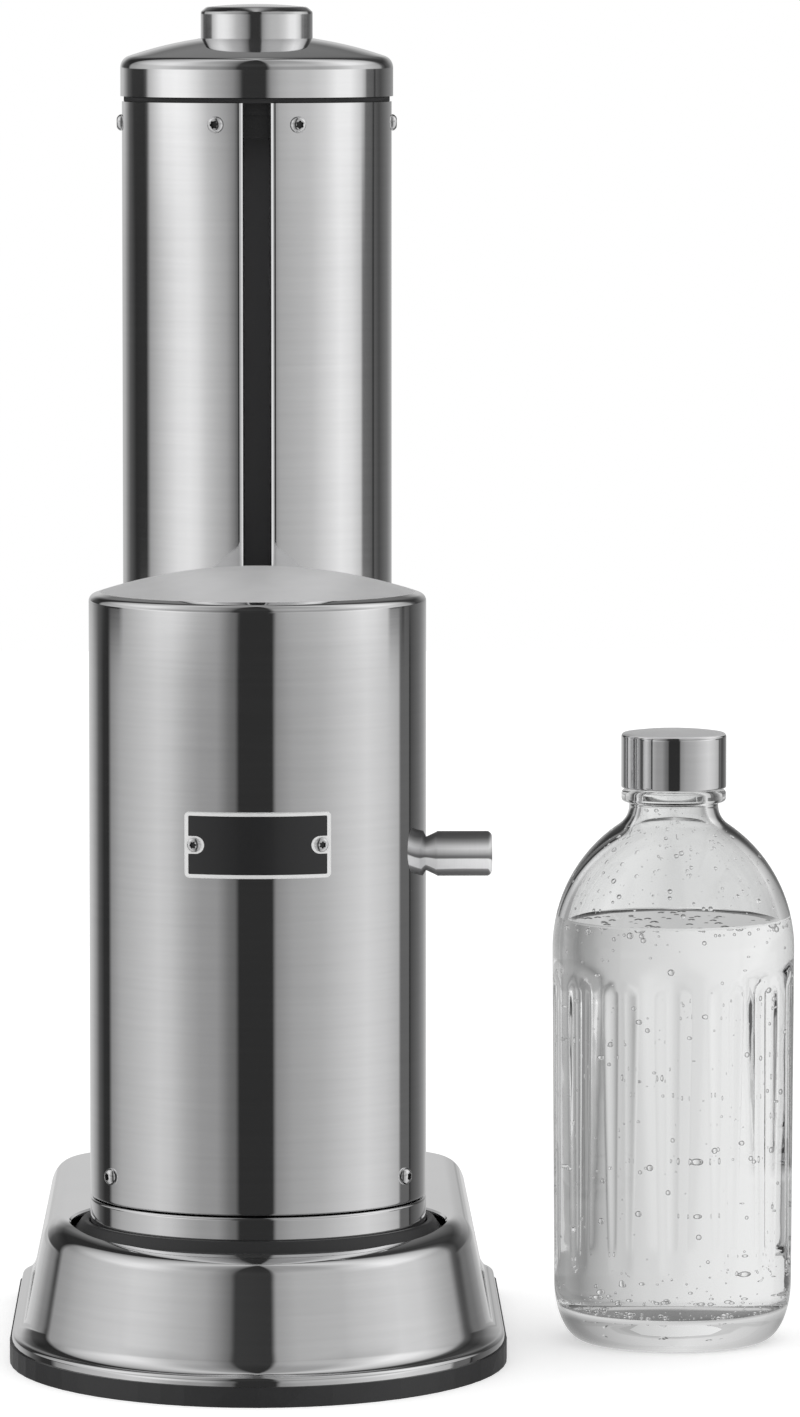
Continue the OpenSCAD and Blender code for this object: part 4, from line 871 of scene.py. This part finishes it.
screw_gap = 0.00005
for name, centre, wall_r, angles, body in (
    ("column", column_at, column_r, (-107.7, -72.3, 0, 180, 60, 120), "housing"),
    ("chamber", (0, 0), bell_r, (-150, -30, 90), "chamber"),
):
    low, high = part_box(name + "_screws")
    places = round_places(centre, wall_r + screw_gap, (low.z + high.z) / 2, angles)
    screws(
        name + "_button_screws", places, 0.00275, 0.0017, 0.00125, 0.62, body, name + "_screws"
    )
plate_turn = math.degrees(math.asin(screw_x / bell_r))
places = round_places(
    (0, 0), bell_r + plate_t + screw_gap, plate_z, (-90 - plate_turn, -90 + plate_turn)
)
screws(
    "nameplate_button_screws", places, 0.0023, 0.001, 0.00105, 0.7, "chamber", "nameplate_screws"
)

# Bottle: pressed clear glass with fourteen hollow flutes, a round shoulder and a beaded neck.
# The inside that the water wets has its own finish, because glass bends light less into water.
bottle_at, bottle_h = (0.136, 0.054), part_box("bottle_glass")[1].z
body_r, body_z, heel_w, heel_h, heel_taper = 0.0396, 0.129, 0.010, 0.020, 0.0007
shoulder_r, shoulder_x, neck_bend, bend_x, bend_z = 0.0493, -0.0097, 0.0075, 0.0221, 0.17606
neck_r, bead_r, bead_low, bead_high, finish_r = 0.0146, 0.0171, 0.1773, 0.1814, 0.0138
glass_t, inner_floor, inner_heel, punt_r, punt_h = 0.004, 0.010, 0.009, 0.022, 0.005
flute_count, flute_at, flute_ball, flute_low, flute_high = 14, 0.0624, 0.024, 0.027, 0.117
flute_run, flute_draw, flute_start, flute_soft = 0.012, 0.003, math.radians(-92.7), 0.00022
water_z, flute_steps = 0.139, 28
bend_turn = math.degrees(math.atan2(bend_z - body_z, bend_x - shoulder_x))


def flute_r(angle, z):
    """How far out the flute's round cutter leaves the glass, at an angle round the bottle."""
    beyond = max(flute_low - z, z - flute_high, 0)
    if beyond > flute_run:
        return 1.0
    ball = flute_ball - flute_draw * beyond / flute_run
    pitch = math.tau / flute_count
    off = (angle - flute_start + pitch / 2) % pitch - pitch / 2
    inside = ball ** 2 - (flute_at * math.sin(off)) ** 2
    return flute_at * math.cos(off) - math.sqrt(inside) if inside > 0 else 1.0


def both_r(plain, flute):
    """The smaller of the two, with a soft edge where they meet."""
    if flute - plain > 4 * flute_soft:
        return plain
    h = max(0.0, flute_soft - abs(flute - plain)) / flute_soft
    return min(plain, flute) - h * h * flute_soft / 4


heel_x = body_r - heel_taper - heel_w
outer = [(0.0004, punt_h), (punt_r * 0.5, punt_h * 0.92), (punt_r, punt_h / 2)]
outer += [(heel_x - 0.0035, 0.0007), (heel_x - 0.0015, 0.0001), (heel_x, 0.0)]
outer += [
    (heel_x + heel_w * math.sin(math.radians(a)), heel_h * (1 - math.cos(math.radians(a))))
    for a in range(6, 91, 6)
]
wall_z = [0.0225 + 0.0015 * i for i in range(5)] + [0.03 + 0.0087 * i for i in range(11)]
wall_z += [0.119, 0.121, 0.123, 0.125, 0.127]
outer += [(body_r - heel_taper * (body_z - z) / (body_z - heel_h), z) for z in wall_z]
outer += arc(shoulder_x, body_z, shoulder_r, 0, bend_turn, 26)
outer += arc(bend_x, bend_z, neck_bend, 180 + bend_turn, 180, 10)[1:]
ease = 0.0009
outer += [(neck_r, bead_low - 0.0006), (neck_r + 0.0004, bead_low - 0.0002)]
outer += arc(bead_r - 0.0013, bead_low + 0.0013, 0.0013, -90, 0, 5)
outer += arc(bead_r - 0.0013, bead_high - 0.0013, 0.0013, 0, 90, 5)
outer += [(finish_r, bead_high), (finish_r, bottle_h - ease)]
outer += arc(finish_r - ease, bottle_h - ease, ease, 0, 90, 4)[1:]
inner_neck = neck_r - glass_t
inner = arc(inner_neck + ease, bottle_h - ease, ease, 90, 180, 4)
inner += [(inner_neck, bead_high), (inner_neck, bead_low)]
inner += arc(bend_x, bend_z, neck_bend + glass_t, 180, 180 + bend_turn, 10)
inner += arc(shoulder_x, body_z, shoulder_r - glass_t, bend_turn, 0, 26)[1:]
wet_from = next(i for i, p in enumerate(inner) if p[1] < water_z)
a, b = inner[wet_from - 1], inner[wet_from]
water_r = a[0] + (b[0] - a[0]) * (a[1] - water_z) / (a[1] - b[1])
inner.insert(wet_from, (water_r, water_z))
heel_in = body_r - glass_t - heel_taper - inner_heel
inner += arc(heel_in, inner_floor + inner_heel, inner_heel, 0, -90, 12)
inner += [
    (heel_in * 0.7, inner_floor + 0.0001), (heel_in * 0.35, inner_floor + 0.0006),
    (0.0004, inner_floor + 0.0008),
]
profile = outer + inner
steps, n = flute_count * flute_steps, len(profile)
points, faces = [], []
for i in range(steps):
    t = flute_start + math.tau * i / steps
    for k, (r, z) in enumerate(profile):
        if k < len(outer):
            r = both_r(r, flute_r(t, z))
        points.append((bottle_at[0] + r * math.cos(t), bottle_at[1] + r * math.sin(t), z))
    faces += band(i * n, (i + 1) % steps * n, n, False)
for k in (0, n - 1):
    faces.append(tuple(i * n + k for i in range(steps)))


def glass_material(name, ior, colour=(1, 1, 1)):
    """Clear glass or water, very slightly wavy as pressed glass is."""
    made = bpy.data.materials.new(name)
    made.use_nodes = True
    tree = made.node_tree
    skin = tree.nodes["Principled BSDF"]
    place = node(tree, "ShaderNodeTexCoord").outputs["Object"]
    waves = node(
        tree, "ShaderNodeTexNoise", [("Vector", place), ("Scale", 70.0), ("Detail", 1.0)]
    )
    relief = node(
        tree, "ShaderNodeBump",
        [("Height", waves.outputs["Fac"]), ("Strength", 0.10), ("Distance", 0.0006)],
    )
    tree.links.new(relief.outputs[0], skin.inputs["Normal"])
    skin.inputs["Base Color"].default_value = (*colour, 1)
    skin.inputs["Roughness"].default_value = 0.0
    skin.inputs["IOR"].default_value = ior
    skin.inputs["Transmission Weight"].default_value = 1.0
    return made


glass_ior, water_ior = 1.5, 1.33
glass = glass_material("clear_glass", glass_ior, (0.985, 0.99, 0.988))
wet_glass = glass_material("wet_glass", glass_ior / water_ior)
bottle = piece("fluted_bottle", points, faces, glass, "bottle", ["bottle_glass"], 60)
bottle.data.materials.append(wet_glass)
for face in bottle.data.polygons:
    x, y, z = face.center
    from_axis = Vector((x - bottle_at[0], y - bottle_at[1], 0))
    away, inside = from_axis.length, face.normal.dot(from_axis) < 0
    near_floor = away < heel_in + 0.001 and inner_floor - 0.0005 < z < inner_floor + 0.002
    by_water = inside and z > inner_floor and away < body_r - glass_t + 0.0002
    if z < water_z and (near_floor or by_water):
        face.material_index = 1

# Water: still, up to the shoulder, its edge drawn up the glass
water = glass_material("water", water_ior)
rise, run, rise_steps = 0.0011, 0.0022, 8
outline = [(0.0, water_z - rise)]
for i in range(rise_steps + 1):
    up = i / rise_steps
    outline.append((water_r - run * (1 - up), water_z - rise + rise * up ** 2))
points, faces = turned_points(outline, 168, bottle_at)
piece("water_surface", points, faces, water, "bottle", [], 80)


def scatter_group():
    """A node group that strews round grains on a surface, each size picked between two."""
    group = bpy.data.node_groups.new("grains", "GeometryNodeTree")
    face = group.interface
    inputs = [
        ("Geometry", "Geometry"), ("Density", "Float"), ("Smallest", "Float"),
        ("Largest", "Float"), ("Seed", "Int"), ("Flatness", "Float"),
    ]
    for label, kind in inputs:
        made = face.new_socket(label, in_out="INPUT", socket_type="NodeSocket" + kind)
    made.default_value = 1.0
    face.new_socket("Geometry", in_out="OUTPUT", socket_type="NodeSocketGeometry")
    given = node(group, "NodeGroupInput").outputs
    strewn = node(
        group, "GeometryNodeDistributePointsOnFaces",
        [("Mesh", given["Geometry"]), ("Density", given["Density"]), ("Seed", given["Seed"])],
    )
    ball = node(group, "GeometryNodeMeshIcoSphere", [("Radius", 1.0), ("Subdivisions", 3)])
    picked = node(
        group, "FunctionNodeRandomValue", [(2, 0.0), (3, 1.0), ("Seed", given["Seed"])],
        data_type="FLOAT",
    )
    mostly_small = maths(group, "POWER", picked.outputs[1], 3.0)
    size = node(
        group, "ShaderNodeMapRange",
        [("Value", mostly_small), ("To Min", given["Smallest"]), ("To Max", given["Largest"])],
    ).outputs[0]
    flat = maths(group, "MULTIPLY", size, given["Flatness"])
    shape = node(group, "ShaderNodeCombineXYZ", [("X", size), ("Y", size), ("Z", flat)])
    grains = node(
        group, "GeometryNodeInstanceOnPoints",
        [
            ("Points", strewn.outputs["Points"]), ("Instance", ball.outputs["Mesh"]),
            ("Rotation", strewn.outputs["Rotation"]), ("Scale", shape.outputs[0]),
        ],
    )
    solid = node(group, "GeometryNodeRealizeInstances", [("Geometry", grains.outputs[0])])
    node(group, "NodeGroupOutput", [("Geometry", solid.outputs[0])])
    return group


grains_group = scatter_group()


def strew(name, outline, finish, **values):
    """Grains on an outline spun round the bottle's axis, made into one mesh that rides on it."""
    points, faces = turned_points(outline, 96, bottle_at)
    mesh = bpy.data.meshes.new(name)
    mesh.from_pydata(points, [], faces)
    made = bpy.data.objects.new(name, mesh)
    scene.collection.objects.link(made)
    strewing = made.modifiers.new("strew", "NODES")
    strewing.node_group = grains_group
    for socket in grains_group.interface.items_tree:
        if socket.name in values:
            strewing[socket.identifier] = values[socket.name]
    bpy.context.view_layer.update()
    result = bpy.data.meshes.new_from_object(
        made.evaluated_get(bpy.context.evaluated_depsgraph_get())
    )
    bpy.data.objects.remove(made)
    dress(name, result, finish, "bottle", [], 180)


# Bubbles: gas that clings to the wall, gathers at the foot and lies as foam under the surface.
# Each is a hole in the water, so its light bends the other way from a drop's.
bubble = glass_material("bubble", 1 / water_ior)
wall_in = [(r - 0.0009, z) for r, z in inner if 0.0185 < z < water_z - 0.002 and r > 0.03]
strew(
    "wall_bubbles", wall_in, bubble, Density=12000.0, Smallest=0.00022, Largest=0.0012, Seed=4
)
low_in = [(r - 0.0006, z + 0.0006) for r, z in inner if z < 0.0225 and r > 0.017]
strew(
    "foot_bubbles", low_in, bubble, Density=60000.0, Smallest=0.0002, Largest=0.0010, Seed=9
)
ring_in = [(water_r - 0.0024, water_z - 0.0030), (water_r - 0.0011, water_z - 0.0026)]
strew(
    "edge_bubbles", ring_in, bubble, Density=260000.0, Smallest=0.00025, Largest=0.0011, Seed=12
)

# Drops: water left on the inside of the shoulder and neck
wet_in = [(r - 0.00002, z) for r, z in inner if water_z + 0.002 < z < 0.182]
strew(
    "shoulder_drops", wet_in, water,
    Density=42000.0, Smallest=0.0002, Largest=0.0009, Seed=21, Flatness=0.5,
)

# Foam: bubbles that lie just under the surface of the water
foam_z = water_z - rise - 0.0005
strew(
    "foam_bubbles", [(0.004, foam_z), (water_r - run, foam_z)], bubble,
    Density=60000.0, Smallest=0.0003, Largest=0.0018, Seed=31, Flatness=0.6,
)

# Bottle cap: a polished steel cover with a satin top, over a black insert
low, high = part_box("bottle_cap")
cover_r = (high.x - low.x) / 2
outline = curled_can(cover_r, low.z, high.z, 0.11, 0.0013, 0.001, 20, 6)
cover = lathe(
    "bottle_cap_cover", outline, polished, "bottle_cap", ["bottle_cap"], bottle_at
)
brush_above(cover, high.z - 0.0025)


# Button spring and gas hose: fine round coils in place of their coarse solids
def coil_tube(name, path, r, sides, material, cad_name):
    """A round tube along a path of points, for a piece that stretches between two bodies."""
    points, faces = [], []
    for i, at in enumerate(path):
        way = (path[min(i + 1, len(path) - 1)] - path[max(i - 1, 0)]).normalized()
        side = way.cross(Vector((0, 0, 1))).normalized()
        up = side.cross(way)
        for k in range(sides):
            t = math.tau * k / sides
            points.append(at + side * (r * math.cos(t)) + up * (r * math.sin(t)))
    for i in range(len(path) - 1):
        faces += band(i * sides, (i + 1) * sides, sides, True)
    faces += [tuple(range(sides)), tuple(range(len(points) - sides, len(points)))]
    return piece(name, points, faces, material, None, [cad_name], 60)


def coil(r, low_z, high_z, turns, end, centre, steps=28):
    """Points of an upright coil with a level straight end at its foot and at its head."""
    path = [Vector((centre[0] + r, centre[1] - end, low_z))]
    for i in range(turns * steps + 1):
        t = math.tau * i / steps
        z = low_z + (high_z - low_z) * i / (turns * steps)
        path.append(Vector((centre[0] + r * math.cos(t), centre[1] + r * math.sin(t), z)))
    return path + [Vector((centre[0] + r, centre[1] + end, high_z))]


low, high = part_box("gas_hose")
hose_r, hose_turns, hose_y = 0.0016, 21, 0.0712
path = coil(0.0046, low.z + hose_r, high.z - hose_r, hose_turns, 2 * hose_r, (0, hose_y))
hose = coil_tube(
    "coiled_gas_hose", path, hose_r, 12, by_slot["hose_plastic"], "gas_hose"
)
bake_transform(hose)
low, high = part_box("button_spring")
wire_r, spring_turns = 0.0007, 6
path = coil(0.0065, low.z + wire_r, high.z - wire_r, spring_turns, 2 * wire_r, column_at)
spring = coil_tube(
    "button_return_spring", path, wire_r, 10, screw_steel, "button_spring"
)
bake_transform(spring)

# Slot screen: painted shade, a thin black sheet above the rail up to the top frame's height, so that
# the view into the slot stays dark
screen_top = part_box("top_frame")[1].z - 0.0012
rail_low, rail_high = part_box("guide_rail")
near_y, half, screen_t = rail_low.y + 0.0022, 0.0070, 0.0006
far_y = near_y + screen_t
corners = [(-half, near_y), (half, near_y), (half, far_y), (-half, far_y)]
points = [(x, y, z) for z in (rail_high.z, screen_top) for x, y in corners]
faces = [(0, 1, 2, 3), (7, 6, 5, 4), *band(0, 4, 4, True)]
piece("slot_shade_sheet", points, faces, black_plastic, "housing", [])

# The other pieces keep their CAD shape, with soft shading and a finish by what they are made of
creases = {"gas_cylinder": 25, "base_screws": 45}
crease_by_name = {
    name: creases.get(name, 32) for name in (
        "foot_plate", "base_frame", "bayonet_collar", "bottle_seat", "guide_rail", "lock_ring",
        "head_body", "bottle_seal", "gas_nozzle", "dome_bush", "carriage_block", "lift_arm",
        "gas_cylinder", "gas_manifold", "base_screws", "cap_liner", "cap_insert",
    )
}
taken = {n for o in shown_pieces() for n in o.get("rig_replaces", [])}
groups = frame["record"]["behaviour"]["bodies"]
body_at = {n: body for body, members in groups.items() for n in members}
slot_at = {p["node"]: p["material_slot"] for p in frame["record"]["subparts"]}
for name, cad in frame["nodes"].items():
    if name in taken:
        continue
    # The guide rail takes the lighter copy of the black plastic, painted light for its shaded place
    # inside the column
    finish = lit_rail_plastic if name == "guide_rail" else by_slot[slot_at[name]]
    if name in crease_by_name:
        mesh = cad.data.copy()
        shape = bmesh.new()
        shape.from_mesh(mesh)
        bmesh.ops.remove_doubles(shape, verts=shape.verts, dist=2e-6)
        shape.to_mesh(mesh)
        shape.free()
        dress(
            name + "_made", mesh, finish, body_at[name], [name],
            crease_by_name[name],
        )
    else:
        cad.data.materials.clear()
        cad.data.materials.append(finish)

# The steel beside the bottle doesn't mirror it
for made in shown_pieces():
    if made.get("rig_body") in ("bottle", "bottle_cap", body_at["cap_liner"]):
        made.visible_glossy = False
